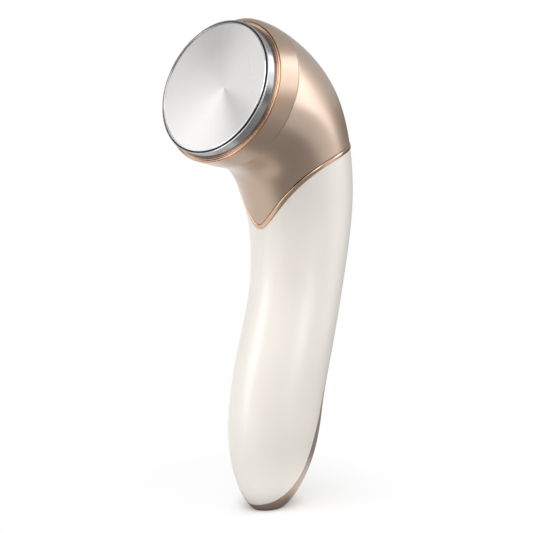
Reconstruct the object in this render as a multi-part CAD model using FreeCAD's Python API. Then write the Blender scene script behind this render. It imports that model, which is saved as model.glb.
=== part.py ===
import FreeCAD
import Part
import math
import os

# Facial beauty wand: a warm-and-cool face massager that is held like a microphone.
# A pearl handle shell and a champagne rear cover close round the battery and the board, a slanted
# polished band joins them to a bent neck, and the neck ends in a collar that carries a round steel plate.
# Millimetres. The origin is the centre of the foot, +Z is up, and the plate looks along -Y and a bit up.

# Overall form
HEAD_HEIGHT = 157.6  # centre of the plate above the foot
HEAD_REACH = 26.5  # centre of the plate ahead of the foot
HEAD_TILT_DEG = 25.0  # how far the plate looks up
GRIP_SETBACK = 16.7  # furthest that the grip's centre line leans back
GRIP_DEPTH = 38.0
GRIP_WIDTH = 30.4
FOOT_CAP_HEIGHT = 37.9  # height over which the grip rounds off to the foot
FOOT_FLAT_CUT = 2.6  # how much of the round end is cut off flat
FOOT_ROUNDNESS = 1.89  # power of the curve that closes the foot
WALL = 2.0  # thickness of every outer shell
OVERRUN = 3.0  # how far any cut runs past what it cuts

# Sections from the foot up to the crook of the neck, as shares of the sizes above
HEIGHT_SHARES = (0.1117, 0.2386, 0.3655, 0.5051, 0.6320, 0.7523, 0.8944)
SETBACK_SHARES = (0.133, 0.253, 0.520, 0.862, 1.000, 0.908, 0.299)
DEPTH_SHARES = (1.0, 1.0, 1.017, 0.996, 1.078, 1.177, 1.288)
WIDTH_SHARES = (1.0, 1.0, 1.017, 0.996, 1.05, 1.177, 1.462)
SECTION_TILTS_DEG = (0.0, 0.0, 0.0, 0.0, 4.0, 16.0, 39.5)

# Trim band: its line hangs as a tongue at the front of the neck and runs level at the back
TRIM_BACK_HEIGHT = 132.6
TRIM_DROP = 27.3
TRIM_SPREAD_DEG = 53.5
TRIM_ROUND_DEG = 8.0  # rounds the tip of the tongue
TRIM_POWER = 1.55
TRIM_WIDTH = 1.6
TRIM_PROUD = 0.25  # how far the bead stands out of the shells
SLEEVE_REACH = 4.0  # the hidden sleeve that both shells slide over, past each side of the bead
SLEEVE_WALL = 1.2
SLEEVE_CLEARANCE = 0.05

# Rear cover: its edge as angles from the front, with heights as shares of the head's height
COVER_EDGE_DEG = (0.0, 45.0, 75.0, 93.0, 105.0, 113.0, 123.0, 134.0, 143.0, 148.0, 150.0)
COVER_EDGE_SHARES = (0.0166, 0.0226, 0.0376, 0.0622, 0.1003, 0.1655, 0.2357, 0.341, 0.4815, 0.672, 0.903)
RIB_SPREAD = 12.6  # two inner ribs of the cover that bear on the chassis
RIB_THICKNESS = 1.6
RIB_LENGTH = 8.0
RIB_START = 5.0

# Head: sizes outwards from the plate, and places back from its face
PLATE_DIAMETER = 46.7
PLATE_THICKNESS = 1.0
PLATE_EDGE_RADIUS = 0.35
SKIRT_DIAMETER = 45.4  # the cup behind the plate's flange
SKIRT_WALL = 1.0
SKIRT_DROP = 3.3
SEAL_THICKNESS = 0.4
SEAL_LIP = 0.4  # how far the seal shows past the plate's edge
SEAL_DROP = 0.4
BEZEL_RIM = 1.2
BEZEL_FRONT = 0.55  # front edge of the bezel behind the plate's face
BEZEL_DROP = 1.3
BEZEL_SHOULDER = 4.7
BEZEL_ROUND = 0.3
ROSE_RIM = 1.6
ROSE_BEAD = 0.6
ROSE_SEAT = 0.6
ROSE_ROUND = 0.45
COLLAR_LENGTH = 8.0
COLLAR_SWELL = 0.5  # how much wider the collar is where it meets the neck
COLLAR_RISE = 1.65  # how far the collar's back sits above the plate's axis
WEB_DROP = 7.7  # inner web of the collar
WEB_THICKNESS = 2.0
WEB_BORE = 30.0
LIP_REACH = 4.0  # the collar's lip that slides into the neck
LIP_WALL = 1.2
HEAD_CLEARANCE = 0.05
HEAD_SCREW_CIRCLE = 37.0
HEAD_SCREWS = 3

# Warm-and-cool stack behind the plate
TILE_SIDE = 20.0
TILE_THICKNESS = 3.4
SINK_BASE = 2.0
SINK_DEPTH = 9.0
SINK_FINS = 5
SINK_FIN_THICKNESS = 1.6
WINDOW_CLEARANCE = 0.4
SENSOR_DIAMETER = 2.4
SENSOR_HEIGHT = 1.8
SENSOR_OFFSET = 14.0

# Straight line through the grip that the inner parts are set out from, by heights on the centre line
GRIP_LOW_HEIGHT = 27.6
GRIP_HIGH_HEIGHT = 92.6

# Chassis behind the battery
CHASSIS_SETBACK = 4.0
CHASSIS_THICKNESS = 1.6
CHASSIS_WIDTH = 21.0
CHASSIS_START = -4.0
CHASSIS_LENGTH = 96.0
STANDOFF_HEIGHT = 2.4
STANDOFF_DIAMETER = 4.4
POST_DIAMETER = 5.0  # posts of the handle shell that the chassis is screwed to
POST_SPREAD = 15.0
POST_LOW = -1.0
POST_HIGH = 60.0
POST_SINK = 1.2  # how deep a post's root runs into the shell

# Battery
CELL_DIAMETER = 14.0
CELL_LENGTH = 50.0
CELL_START = 3.0
CELL_CLEARANCE = 0.1
SADDLE_FLOOR = 1.0
SADDLE_WALL = 1.6
SADDLE_THICKNESS = 2.4
SADDLE_INSET = 8.0
TAB_WIDTH = 9.0
TAB_DEPTH = 5.0
TAB_THICKNESS = 0.3

# Screws, all of one size
SCREW_DIAMETER = 2.0
SCREW_LENGTH = 7.0
SHORT_SCREW_LENGTH = 4.6
SCREW_HEAD_DIAMETER = 3.8
SCREW_HEAD_HEIGHT = 1.3
SCREW_CLEARANCE = 0.15
SCREW_TIP_GAP = 0.4
RECESS_LENGTH = 2.2
RECESS_WIDTH = 0.5
RECESS_DEPTH = 0.7
THREAD_FIT = 0.02

# Main board and what is soldered to it
BOARD_WIDTH = 15.0
BOARD_LENGTH = 62.0
BOARD_THICKNESS = 1.0
BOARD_START = 27.0
BOARD_SCREW_LOW = 31.5
BOARD_SCREW_HIGH = 66.0
BOARD_SCREW_SIDE = 5.0  # the upper screw stands beside the lamps
COIL_DIAMETER = 7.0
COIL_WAIST = 4.6
COIL_HEIGHT = 4.0
COIL_FLANGE = 0.9
COIL_PLACE = 37.2
CHIP_SIDE = 6.0
CHIP_HEIGHT = 1.0
CHIP_PLACE = 80.0
SPECK_LENGTH = 1.6
SPECK_WIDTH = 0.8
SPECK_HEIGHT = 0.7
SPECK_SIDE = 5.4
SPECK_PITCH = 3.2
SPECK_PLACE = 66.0
SPECKS = 5
PLUG_WIDTH = 7.0
PLUG_LENGTH = 3.6
PLUG_HEIGHT = 2.4
PLUG_PLACE = 86.4
SPRING_WIDTH = 3.0
SPRING_THICKNESS = 0.3
SPRING_LENGTH = 2.4
SPRING_PLACE = 42.2
SPRING_GAP = 0.15

# Buttons and lamps on the back of the grip
POWER_PLACE = 72.0
POWER_DIAMETER = 10.5
MODE_PLACE = 49.0
MODE_DIAMETER = 8.5
BUTTON_TRAVEL = 0.5
BUTTON_PROUD = 0.4
BUTTON_CLEARANCE = 0.3
BUTTON_LIP = 0.9
BUTTON_LIP_THICKNESS = 1.0
BUTTON_LIP_GAP = 0.7
PLUNGER_DIAMETER = 4.0
SWITCH_SIDE = 6.0
SWITCH_HEIGHT = 3.4
STEM_DIAMETER = 3.2
STEM_PROUD = 1.0
STEM_SUNK = 1.0
STEM_CLEARANCE = 0.1
STEM_FLOOR = 0.3
LENS_DIAMETER = 1.8
LENS_PITCH = 3.4
LENS_GAP = 0.3
LENSES = 3
LED_LENGTH = 1.8
LED_WIDTH = 1.2
LED_HEIGHT = 0.6

# Massage motor at the top of the chassis, lying across the neck
MOTOR_PLACE = 82.0
MOTOR_DIAMETER = 7.0
MOTOR_LENGTH = 13.0
MOTOR_SHIFT = 2.5  # towards the left, to leave room for the weight
MOTOR_FIT = 0.03
CLIP_LENGTH = 9.0
CLIP_FLOOR = 0.8
CLIP_WALL = 1.2
CLIP_EAR = 3.4
SHAFT_DIAMETER = 1.5
SHAFT_SUNK = 3.0
SHAFT_CLEARANCE = 0.05
WEIGHT_DIAMETER = 6.0
WEIGHT_LENGTH = 5.0
WEIGHT_GAP = 0.8
HUB_DIAMETER = 3.0

# Charging contacts in the foot
CONTACT_DIAMETER = 1.8
CONTACT_PITCH = 3.6
CONTACT_LENGTH = 7.5
CONTACT_RECESS = 0.1
BLOCK_WIDTH_SHARE = 0.8  # of the floor inside the foot
BLOCK_DEPTH_SHARE = 0.48
BLOCK_HEIGHT = 3.0

# Wires
LEAD_DIAMETER = 1.2
LEAD_BEND = 5.0
LEAD_PITCH = 2.8  # between the two wires of a pair
LEAD_OVERLAP = 2.0  # length soldered down on the board
LEAD_RISE = 8.0  # straight length above the plug
LEAD_START = 3.0  # straight length above a charging contact
LEAD_DROP = 12.4  # below the plate's axis, beside the heat sink
LEAD_TURN = 20.1  # back from the plate's face
LEAD_END = 4.4
LEAD_SLOT = 1.2
CHARGE_TURN = -8.0
CELL_LEAD_SIDE = 4.0
CELL_LEAD_GAP = 0.2
CELL_LEAD_SLOT = 2.0  # room in the chassis for the wire's bend

# Numbers of steps in the drawn curves
FOOT_STEPS = 8
BODY_STEPS = 16
RING_POINTS = 24
EDGE_POINTS = 72
HALVINGS = 50

# Frames and sizes that follow from those above
RIGHT = FreeCAD.Vector(1, 0, 0)
UP = FreeCAD.Vector(0, 0, 1)
BACKWARD = FreeCAD.Vector(0, 1, 0)
HEAD_TILT = math.radians(HEAD_TILT_DEG)
HEAD_AXIS = FreeCAD.Vector(0, -math.cos(HEAD_TILT), math.sin(HEAD_TILT))
HEAD_UP = FreeCAD.Vector(0, math.sin(HEAD_TILT), math.cos(HEAD_TILT))
PLATE_CENTRE = FreeCAD.Vector(0, -HEAD_REACH, HEAD_HEIGHT)
HEAD_PLACE = FreeCAD.Placement(PLATE_CENTRE, FreeCAD.Rotation(RIGHT, 90.0 - HEAD_TILT_DEG))
PLATE_RADIUS = PLATE_DIAMETER / 2
SKIRT_RADIUS = SKIRT_DIAMETER / 2
BEZEL_BORE = SKIRT_RADIUS + SEAL_THICKNESS
BEZEL_RADIUS = BEZEL_BORE + BEZEL_RIM
COLLAR_RADIUS = BEZEL_RADIUS + ROSE_RIM
MOUTH_RADIUS = COLLAR_RADIUS - WALL
COLLAR_FRONT = BEZEL_SHOULDER + ROSE_SEAT
COLLAR_BACK = COLLAR_FRONT + COLLAR_LENGTH
WEB_BACK = WEB_DROP + WEB_THICKNESS
TILE_BACK = PLATE_THICKNESS + TILE_THICKNESS
FRONT_CENTRE = PLATE_CENTRE - HEAD_AXIS * COLLAR_FRONT
BACK_CENTRE = PLATE_CENTRE - HEAD_AXIS * COLLAR_BACK + HEAD_UP * COLLAR_RISE
CHASSIS_BACK = CHASSIS_SETBACK + CHASSIS_THICKNESS
CHASSIS_END = CHASSIS_START + CHASSIS_LENGTH
BOARD_FRONT = CHASSIS_BACK + STANDOFF_HEIGHT
BOARD_BACK = BOARD_FRONT + BOARD_THICKNESS
CELL_AXIS = CHASSIS_SETBACK - SADDLE_FLOOR - CELL_DIAMETER / 2
CELL_END = CELL_START + CELL_LENGTH
MOTOR_AXIS = CHASSIS_SETBACK - CLIP_FLOOR - MOTOR_DIAMETER / 2
SCREW_RADIUS = SCREW_DIAMETER / 2
LENS_MIDDLE = (POWER_PLACE + MODE_PLACE) / 2
LENS_PLACES = [LENS_MIDDLE + (k - (LENSES - 1) / 2) * LENS_PITCH for k in range(LENSES)]
POST_PLACES = [(side * POST_SPREAD / 2, place) for side in (-1, 1) for place in (POST_LOW, POST_HIGH)]
CLIP_SCREW_PLACES = [MOTOR_PLACE + side * (MOTOR_DIAMETER + CLIP_EAR) / 2 for side in (-1, 1)]
CLIP_MIDDLE = -MOTOR_SHIFT

# Outer skin: rounded sections on a bent centre line


def smooth(values):
    """Smooth curve through evenly numbered values, straight at both ends."""
    bends = [0.0] * len(values)
    drive = [0.0] * len(values)
    ratio = [0.0] * len(values)
    for i in range(1, len(values) - 1):
        pivot = 4.0 - ratio[i - 1]
        kink = 6.0 * (values[i - 1] - 2 * values[i] + values[i + 1])
        ratio[i] = 1.0 / pivot
        drive[i] = (kink - drive[i - 1]) / pivot
    for i in range(len(values) - 2, 0, -1):
        bends[i] = drive[i] - ratio[i] * bends[i + 1]
    return values, bends


def along(curve, u):
    """Value of a smooth curve at the station number u."""
    values, bends = curve
    i = min(max(int(u), 0), len(values) - 2)
    t = u - i
    s = 1.0 - t
    bow = (s ** 3 - s) * bends[i] + (t ** 3 - t) * bends[i + 1]
    return s * values[i] + t * values[i + 1] + bow / 6.0


COLLAR_RADII = [COLLAR_RADIUS + COLLAR_SWELL, COLLAR_RADIUS]
COLLAR_HEIGHTS = [BACK_CENTRE.z, FRONT_CENTRE.z]
COLLAR_SETBACKS = [BACK_CENTRE.y, FRONT_CENTRE.y]
HEIGHTS = smooth([-FOOT_FLAT_CUT] + [s * HEAD_HEIGHT for s in HEIGHT_SHARES] + COLLAR_HEIGHTS)
SETBACKS = smooth([0.0] + [s * GRIP_SETBACK for s in SETBACK_SHARES] + COLLAR_SETBACKS)
DEPTHS = smooth([GRIP_DEPTH / 2] + [s * GRIP_DEPTH / 2 for s in DEPTH_SHARES] + COLLAR_RADII)
WIDTHS = smooth([GRIP_WIDTH / 2] + [s * GRIP_WIDTH / 2 for s in WIDTH_SHARES] + COLLAR_RADII)
TILTS_DEG = smooth([0.0] + list(SECTION_TILTS_DEG) + [90.0 - HEAD_TILT_DEG] * 2)
CROOK = len(HEIGHT_SHARES)
SKIN_END = CROOK + 2


def skin_point(u, angle_deg, inset=0.0):
    """Point of the skin at a station and an angle from the front, moved in by the inset."""
    height = along(HEIGHTS, u)
    tilt = math.radians(along(TILTS_DEG, u))
    rise = max((height + FOOT_FLAT_CUT - inset) / (FOOT_CAP_HEIGHT - inset), 0.0)
    fullness = math.sqrt(1.0 - max(1.0 - rise, 0.0) ** FOOT_ROUNDNESS)
    reach = (along(DEPTHS, u) - inset) * fullness * math.cos(math.radians(angle_deg))
    side = (along(WIDTHS, u) - inset) * fullness * math.sin(math.radians(angle_deg))
    setback = along(SETBACKS, u)
    return FreeCAD.Vector(side, setback - reach * math.cos(tilt), height - reach * math.sin(tilt))


def halve(low, high, is_below):
    """Value between two bounds where a test changes over."""
    for _ in range(HALVINGS):
        middle = (low + high) / 2
        if is_below(middle):
            low = middle
        else:
            high = middle
    return (low + high) / 2


def station_at(height, angle_deg):
    """Station below the crook where the skin at an angle passes a height."""
    return halve(0.0, CROOK, lambda u: skin_point(u, angle_deg).z < height)


def centre_at(height):
    """Point of the centre line at a height in the grip."""
    u = halve(0.0, CROOK, lambda s: along(HEIGHTS, s) < height)
    return FreeCAD.Vector(0, along(SETBACKS, u), height)


def curve_through(points, closed=False):
    curve = Part.BSplineCurve()
    curve.interpolate(Points=points, PeriodicFlag=closed)
    return curve.toShape()


def skin_ring(u, inset, shift=0.0):
    """One section of the skin as a closed wire, moved along the head's axis by the shift."""
    step = 360.0 / RING_POINTS
    points = [skin_point(u, k * step, inset) + HEAD_AXIS * shift for k in range(RING_POINTS)]
    return Part.Wire(curve_through(points, True))


def skin_solid(inset, first, last):
    """Solid inside the skin between two stations."""
    steps = max(int((last - first) * 2), 4)
    rings = [skin_ring(first + (last - first) * k / steps, inset) for k in range(steps + 1)]
    return Part.makeLoft(rings, True)


def body_solid(inset, floor, shift):
    """Solid inside the whole skin, from a flat floor up to the collar's mouth and on by the shift."""
    top = FOOT_CAP_HEIGHT - FOOT_FLAT_CUT
    stations = []
    for k in range(FOOT_STEPS):
        height = floor + (top - floor) * (1.0 - math.cos(math.pi / 2 * k / FOOT_STEPS))
        stations.append(halve(0.0, CROOK, lambda s: along(HEIGHTS, s) < height))
    first = halve(0.0, CROOK, lambda s: along(HEIGHTS, s) < top)
    for k in range(BODY_STEPS + 1):
        stations.append(first + (SKIN_END - first) * k / BODY_STEPS)
    rings = [skin_ring(u, inset) for u in stations]
    if shift > 0.0:
        rings.append(skin_ring(SKIN_END, inset, shift))
    return Part.makeLoft(rings, True)


# Seams: ribbons that stand across the wall along a line on the skin


def ribbon(path, closed=False):
    """Face across the wall along a path of stations and angles."""
    outer = curve_through([skin_point(u, angle, -OVERRUN) for u, angle in path], closed)
    inner = curve_through([skin_point(u, angle, WALL + OVERRUN) for u, angle in path], closed)
    return Part.makeRuledSurface(outer, inner)


def trim_height(angle_deg):
    swing = math.hypot(angle_deg, TRIM_ROUND_DEG) ** TRIM_POWER - TRIM_ROUND_DEG ** TRIM_POWER
    return TRIM_BACK_HEIGHT - TRIM_DROP * math.exp(-swing / TRIM_SPREAD_DEG ** TRIM_POWER)


def trim_point(angle_deg):
    turned = (angle_deg + 180.0) % 360.0 - 180.0
    return skin_point(station_at(trim_height(turned), turned), turned)


def trim_ribbon(offset):
    """Seam beside the line of the trim band, moved up across the line by the offset."""
    step = 360.0 / EDGE_POINTS
    path = []
    for k in range(EDGE_POINTS):
        angle = k * step - 180.0
        chord = trim_point(angle + step / 2) - trim_point(angle - step / 2)
        lean = chord.Length / math.hypot(chord.x, chord.y)
        path.append((station_at(trim_height(angle) + offset * lean, angle), angle))
    return ribbon(path, True)


def cover_ribbon():
    """Seam of the rear cover: up one side, round under the front of the foot, and up the other side."""
    angles = smooth([-a for a in COVER_EDGE_DEG[:0:-1]] + list(COVER_EDGE_DEG))
    shares = smooth(list(COVER_EDGE_SHARES[:0:-1]) + list(COVER_EDGE_SHARES))
    spans = 2 * (len(COVER_EDGE_DEG) - 1)
    path = []
    for k in range(EDGE_POINTS + 1):
        u = spans * k / EDGE_POINTS
        angle = along(angles, u)
        path.append((station_at(along(shares, u) * HEAD_HEIGHT, angle), angle))
    return ribbon(path)


def parted(solid, seams):
    """Solids that a solid falls into along seams, from the lowest up."""
    pieces = solid.generalFuse(seams)[0].Solids
    return sorted(pieces, key=lambda piece: piece.CenterOfMass.z)


# Small shapes in a frame of their own


def box(x, y, z):
    """Block between two x, two y and two z places."""
    corner = FreeCAD.Vector(min(x), min(y), min(z))
    return Part.makeBox(abs(x[1] - x[0]), abs(y[1] - y[0]), abs(z[1] - z[0]), corner)


def centred(place, length):
    return (place - length / 2, place + length / 2)


def rod(radius, start, end):
    run = FreeCAD.Vector(*end) - FreeCAD.Vector(*start)
    return Part.makeCylinder(radius, run.Length, FreeCAD.Vector(*start), run)


def disc(radius, front, back):
    """Round about the plate's axis, between two places back from the plate's face."""
    return rod(radius, (0, 0, -front), (0, 0, -back))


def hoop(outer, inner, front, back):
    return disc(outer, front, back).cut(disc(inner, front - OVERRUN, back + OVERRUN))


def rounded(shape, radius, drop, edge_radius):
    """Shape with its round edge at a place and radius rounded over."""
    edges = []
    for edge in shape.Edges:
        if isinstance(edge.Curve, Part.Circle):
            level = abs(edge.Curve.Center.z + drop) < THREAD_FIT
            if level and abs(edge.Curve.Radius - edge_radius) < THREAD_FIT:
                edges.append(edge)
    return shape.makeFillet(radius, edges)


def joined(first, *others):
    shape = first
    for other in others:
        shape = shape.fuse(other)
    return shape


def set_in(place, shape):
    return shape.transformed(place.toMatrix())


def screw(length):
    """Cross-head screw with its head on +Z and the underside of the head at the origin."""
    head = rod(SCREW_HEAD_DIAMETER / 2, (0, 0, 0), (0, 0, SCREW_HEAD_HEIGHT))
    shank = rod(SCREW_RADIUS, (0, 0, -length), (0, 0, 0))
    shape = joined(head, shank)
    floor = SCREW_HEAD_HEIGHT - RECESS_DEPTH
    for turn in (0, 90):
        tall = (floor, SCREW_HEAD_HEIGHT + OVERRUN)
        slot = box(centred(0, RECESS_LENGTH), centred(0, RECESS_WIDTH), tall)
        slot.rotate(FreeCAD.Vector(0, 0, 0), UP, turn)
        shape = shape.cut(slot)
    return shape


def set_screw(length, x, y, z, direction):
    """Screw with its head seated at a place, looking along a direction."""
    turn = FreeCAD.Rotation(UP, direction)
    return set_in(FreeCAD.Placement(FreeCAD.Vector(x, y, z), turn), screw(length))


def lead(points):
    """Wire along straight runs joined by round bends."""
    runs = [FreeCAD.Vector(*p) for p in points]
    edges = []
    start = runs[0]
    for before, corner, after in zip(runs, runs[1:], runs[2:]):
        come = (corner - before).normalize()
        leave = (after - corner).normalize()
        reach = LEAD_BEND * math.tan(come.getAngle(leave) / 2)
        into = corner - come * reach
        out = corner + leave * reach
        towards = (leave - come).normalize()
        middle = corner + towards * (math.hypot(reach, LEAD_BEND) - LEAD_BEND)
        edges.append(Part.LineSegment(start, into).toShape())
        edges.append(Part.Arc(into, middle, out).toShape())
        start = out
    edges.append(Part.LineSegment(start, runs[-1]).toShape())
    ring = Part.Circle(runs[0], runs[1] - runs[0], LEAD_DIAMETER / 2).toShape()
    return Part.Wire(edges).makePipeShell([Part.Wire(ring)], True, False)


# Frame of the grip: +Z runs up the handle, +Y runs to its back

GRIP_START = centre_at(GRIP_LOW_HEIGHT)
GRIP_RUN = centre_at(GRIP_HIGH_HEIGHT) - GRIP_START
GRIP_LEAN_DEG = math.degrees(math.atan2(GRIP_RUN.y, GRIP_RUN.z))
GRIP_PLACE = FreeCAD.Placement(GRIP_START, FreeCAD.Rotation(RIGHT, -GRIP_LEAN_DEG))


def in_grip(point):
    return GRIP_PLACE.inverse().multVec(point)


def back_face(place, side=0.0):
    """How far back the inside of the rear wall is, at a place up the grip and a distance to the side."""
    def angle_of(u):
        return 180.0 - math.degrees(math.asin(side / (along(WIDTHS, u) - WALL)))

    u = halve(0.0, CROOK, lambda s: in_grip(skin_point(s, angle_of(s), WALL)).z < place)
    return in_grip(skin_point(u, angle_of(u), WALL)).y


# Outer shells


def with_posts(shell, skin):
    """Shell with the handle's four posts for the chassis."""
    hole_end = CHASSIS_BACK - SCREW_LENGTH - SCREW_TIP_GAP
    for side, place in POST_PLACES:
        post = rod(POST_DIAMETER / 2, (side, -GRIP_DEPTH, place), (side, CHASSIS_SETBACK, place))
        hole = rod(SCREW_RADIUS + THREAD_FIT, (side, hole_end, place), (side, CHASSIS_SETBACK, place))
        shell = shell.fuse(set_in(GRIP_PLACE, post).common(skin)).cut(set_in(GRIP_PLACE, hole))
    return shell


def with_ribs(shell, skin):
    """Shell with the rear cover's two ribs that bear on the chassis."""
    for side in (-1, 1):
        across = centred(side * RIB_SPREAD / 2, RIB_THICKNESS)
        rib = box(across, (CHASSIS_BACK, GRIP_DEPTH), (RIB_START, RIB_START + RIB_LENGTH))
        shell = shell.fuse(set_in(GRIP_PLACE, rib).common(skin))
    return shell


def with_holes(shell):
    """Shell with holes for the buttons, the lamps and the charging contacts."""
    holes = [(LENS_DIAMETER / 2 + THREAD_FIT, place) for place in LENS_PLACES]
    holes.append((POWER_DIAMETER / 2 + BUTTON_CLEARANCE, POWER_PLACE))
    holes.append((MODE_DIAMETER / 2 + BUTTON_CLEARANCE, MODE_PLACE))
    for radius, place in holes:
        shell = shell.cut(set_in(GRIP_PLACE, rod(radius, (0, BOARD_BACK, place), (0, GRIP_DEPTH, place))))
    for place in (-CONTACT_PITCH / 2, CONTACT_PITCH / 2):
        hole = rod(CONTACT_DIAMETER / 2 + THREAD_FIT, (place, 0, -OVERRUN), (place, 0, WALL + OVERRUN))
        shell = shell.cut(hole)
    return shell


def make_trim_band(low, high):
    """Polished bead with a hidden sleeve that the neck and the handle slide over."""
    first = CROOK - 3
    last = CROOK + 1
    bore = skin_solid(WALL + SLEEVE_CLEARANCE + SLEEVE_WALL, first, last)
    bead = skin_solid(-TRIM_PROUD, first, last).cut(bore)
    sleeve = skin_solid(WALL + SLEEVE_CLEARANCE, first, last).cut(bore)
    bead = parted(bead, [low, high])[1]
    reach = TRIM_WIDTH / 2 + SLEEVE_REACH
    sleeve = parted(sleeve, [trim_ribbon(-reach), trim_ribbon(reach)])[1]
    return joined(bead, sleeve)


def make_collar(front):
    """Champagne collar with a web for the screws and a lip that slides into the neck."""
    web = set_in(HEAD_PLACE, hoop(MOUTH_RADIUS + WALL / 2, WEB_BORE / 2, WEB_DROP, WEB_BACK))
    first = CROOK + 0.5
    outer = skin_solid(WALL + SLEEVE_CLEARANCE, first, SKIN_END)
    lip = outer.cut(skin_solid(WALL + SLEEVE_CLEARANCE + LIP_WALL, first, SKIN_END))
    lip = lip.common(set_in(HEAD_PLACE, disc(2 * COLLAR_RADIUS, WEB_BACK, COLLAR_BACK + LIP_REACH)))
    collar = joined(front.cut(set_in(HEAD_PLACE, disc(MOUTH_RADIUS + HEAD_CLEARANCE, 0, WEB_DROP))), web, lip)
    for x, y in head_screw_places():
        hole = rod(SCREW_RADIUS + SCREW_CLEARANCE, (x, y, 0), (x, y, -COLLAR_BACK))
        collar = collar.cut(set_in(HEAD_PLACE, hole))
    return collar


# Head


def head_screw_places():
    turns = [math.radians(90.0 + 360.0 * k / HEAD_SCREWS) for k in range(HEAD_SCREWS)]
    return [(HEAD_SCREW_CIRCLE / 2 * math.cos(a), HEAD_SCREW_CIRCLE / 2 * math.sin(a)) for a in turns]


def make_face_plate():
    """Steel plate with a narrow flange round a shallow cup."""
    face = rounded(disc(PLATE_RADIUS, 0, PLATE_THICKNESS), PLATE_EDGE_RADIUS, 0, PLATE_RADIUS)
    return joined(face, hoop(SKIRT_RADIUS, SKIRT_RADIUS - SKIRT_WALL, PLATE_THICKNESS, SKIRT_DROP))


def make_plate_seal():
    """Black ring round the plate's edge, with a flange under it and a sleeve round its cup."""
    lip = hoop(PLATE_RADIUS + SEAL_LIP, PLATE_RADIUS, SEAL_DROP, PLATE_THICKNESS)
    flange = hoop(PLATE_RADIUS + SEAL_LIP, SKIRT_RADIUS, PLATE_THICKNESS, BEZEL_DROP)
    return joined(lip, flange, hoop(BEZEL_BORE, SKIRT_RADIUS, BEZEL_DROP, SKIRT_DROP))


def make_chrome_bezel():
    rim = hoop(BEZEL_RADIUS, PLATE_RADIUS + SEAL_LIP, BEZEL_FRONT, BEZEL_DROP)
    rim = joined(rim, hoop(BEZEL_RADIUS, BEZEL_BORE, BEZEL_DROP, BEZEL_SHOULDER))
    rim = rounded(rim, BEZEL_ROUND, BEZEL_FRONT, BEZEL_RADIUS)
    return joined(rim, hoop(MOUTH_RADIUS - HEAD_CLEARANCE, BEZEL_BORE, BEZEL_SHOULDER, WEB_DROP))


def make_rose_ring():
    bead = hoop(COLLAR_RADIUS, BEZEL_RADIUS + HEAD_CLEARANCE, BEZEL_SHOULDER - ROSE_BEAD, COLLAR_FRONT)
    for edge in (COLLAR_RADIUS, BEZEL_RADIUS + HEAD_CLEARANCE):
        bead = rounded(bead, ROSE_ROUND, BEZEL_SHOULDER - ROSE_BEAD, edge)
    return joined(bead, hoop(BEZEL_RADIUS + ROSE_RIM / 2, MOUTH_RADIUS, BEZEL_SHOULDER, COLLAR_FRONT))


def make_plate_carrier():
    """Plastic disc that holds the plate, with a window for the tile and a slot for the wires."""
    carrier = disc(BEZEL_BORE - HEAD_CLEARANCE, SKIRT_DROP, WEB_DROP)
    through = (OVERRUN, -COLLAR_BACK)
    window = TILE_SIDE + 2 * WINDOW_CLEARANCE
    carrier = carrier.cut(box(centred(0, window), centred(0, window), through))
    slot = LEAD_PITCH + LEAD_DIAMETER + LEAD_SLOT
    carrier = carrier.cut(box(centred(0, slot), (-LEAD_DROP - LEAD_DIAMETER, 0), through))
    for x, y in head_screw_places():
        tip = WEB_BACK - SHORT_SCREW_LENGTH - SCREW_TIP_GAP
        carrier = carrier.cut(rod(SCREW_RADIUS + THREAD_FIT, (x, y, -tip), (x, y, -WEB_BACK)))
    return carrier


def make_peltier_tile():
    return box(centred(0, TILE_SIDE), centred(0, TILE_SIDE), (-PLATE_THICKNESS, -TILE_BACK))


def make_heat_sink():
    base = TILE_BACK + SINK_BASE
    sink = box(centred(0, TILE_SIDE), centred(0, TILE_SIDE), (-TILE_BACK, -base))
    pitch = (TILE_SIDE - SINK_FIN_THICKNESS) / (SINK_FINS - 1)
    for k in range(SINK_FINS):
        place = (k - (SINK_FINS - 1) / 2) * pitch
        fin = box(centred(place, SINK_FIN_THICKNESS), centred(0, TILE_SIDE), (-base, -base - SINK_DEPTH))
        sink = joined(sink, fin)
    return sink


def make_plate_sensor():
    back = PLATE_THICKNESS + SENSOR_HEIGHT
    return rod(SENSOR_DIAMETER / 2, (SENSOR_OFFSET, 0, -PLATE_THICKNESS), (SENSOR_OFFSET, 0, -back))


def make_head_screws():
    return [set_screw(SHORT_SCREW_LENGTH, x, y, -WEB_BACK, -UP) for x, y in head_screw_places()]


# Inside the grip


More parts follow.
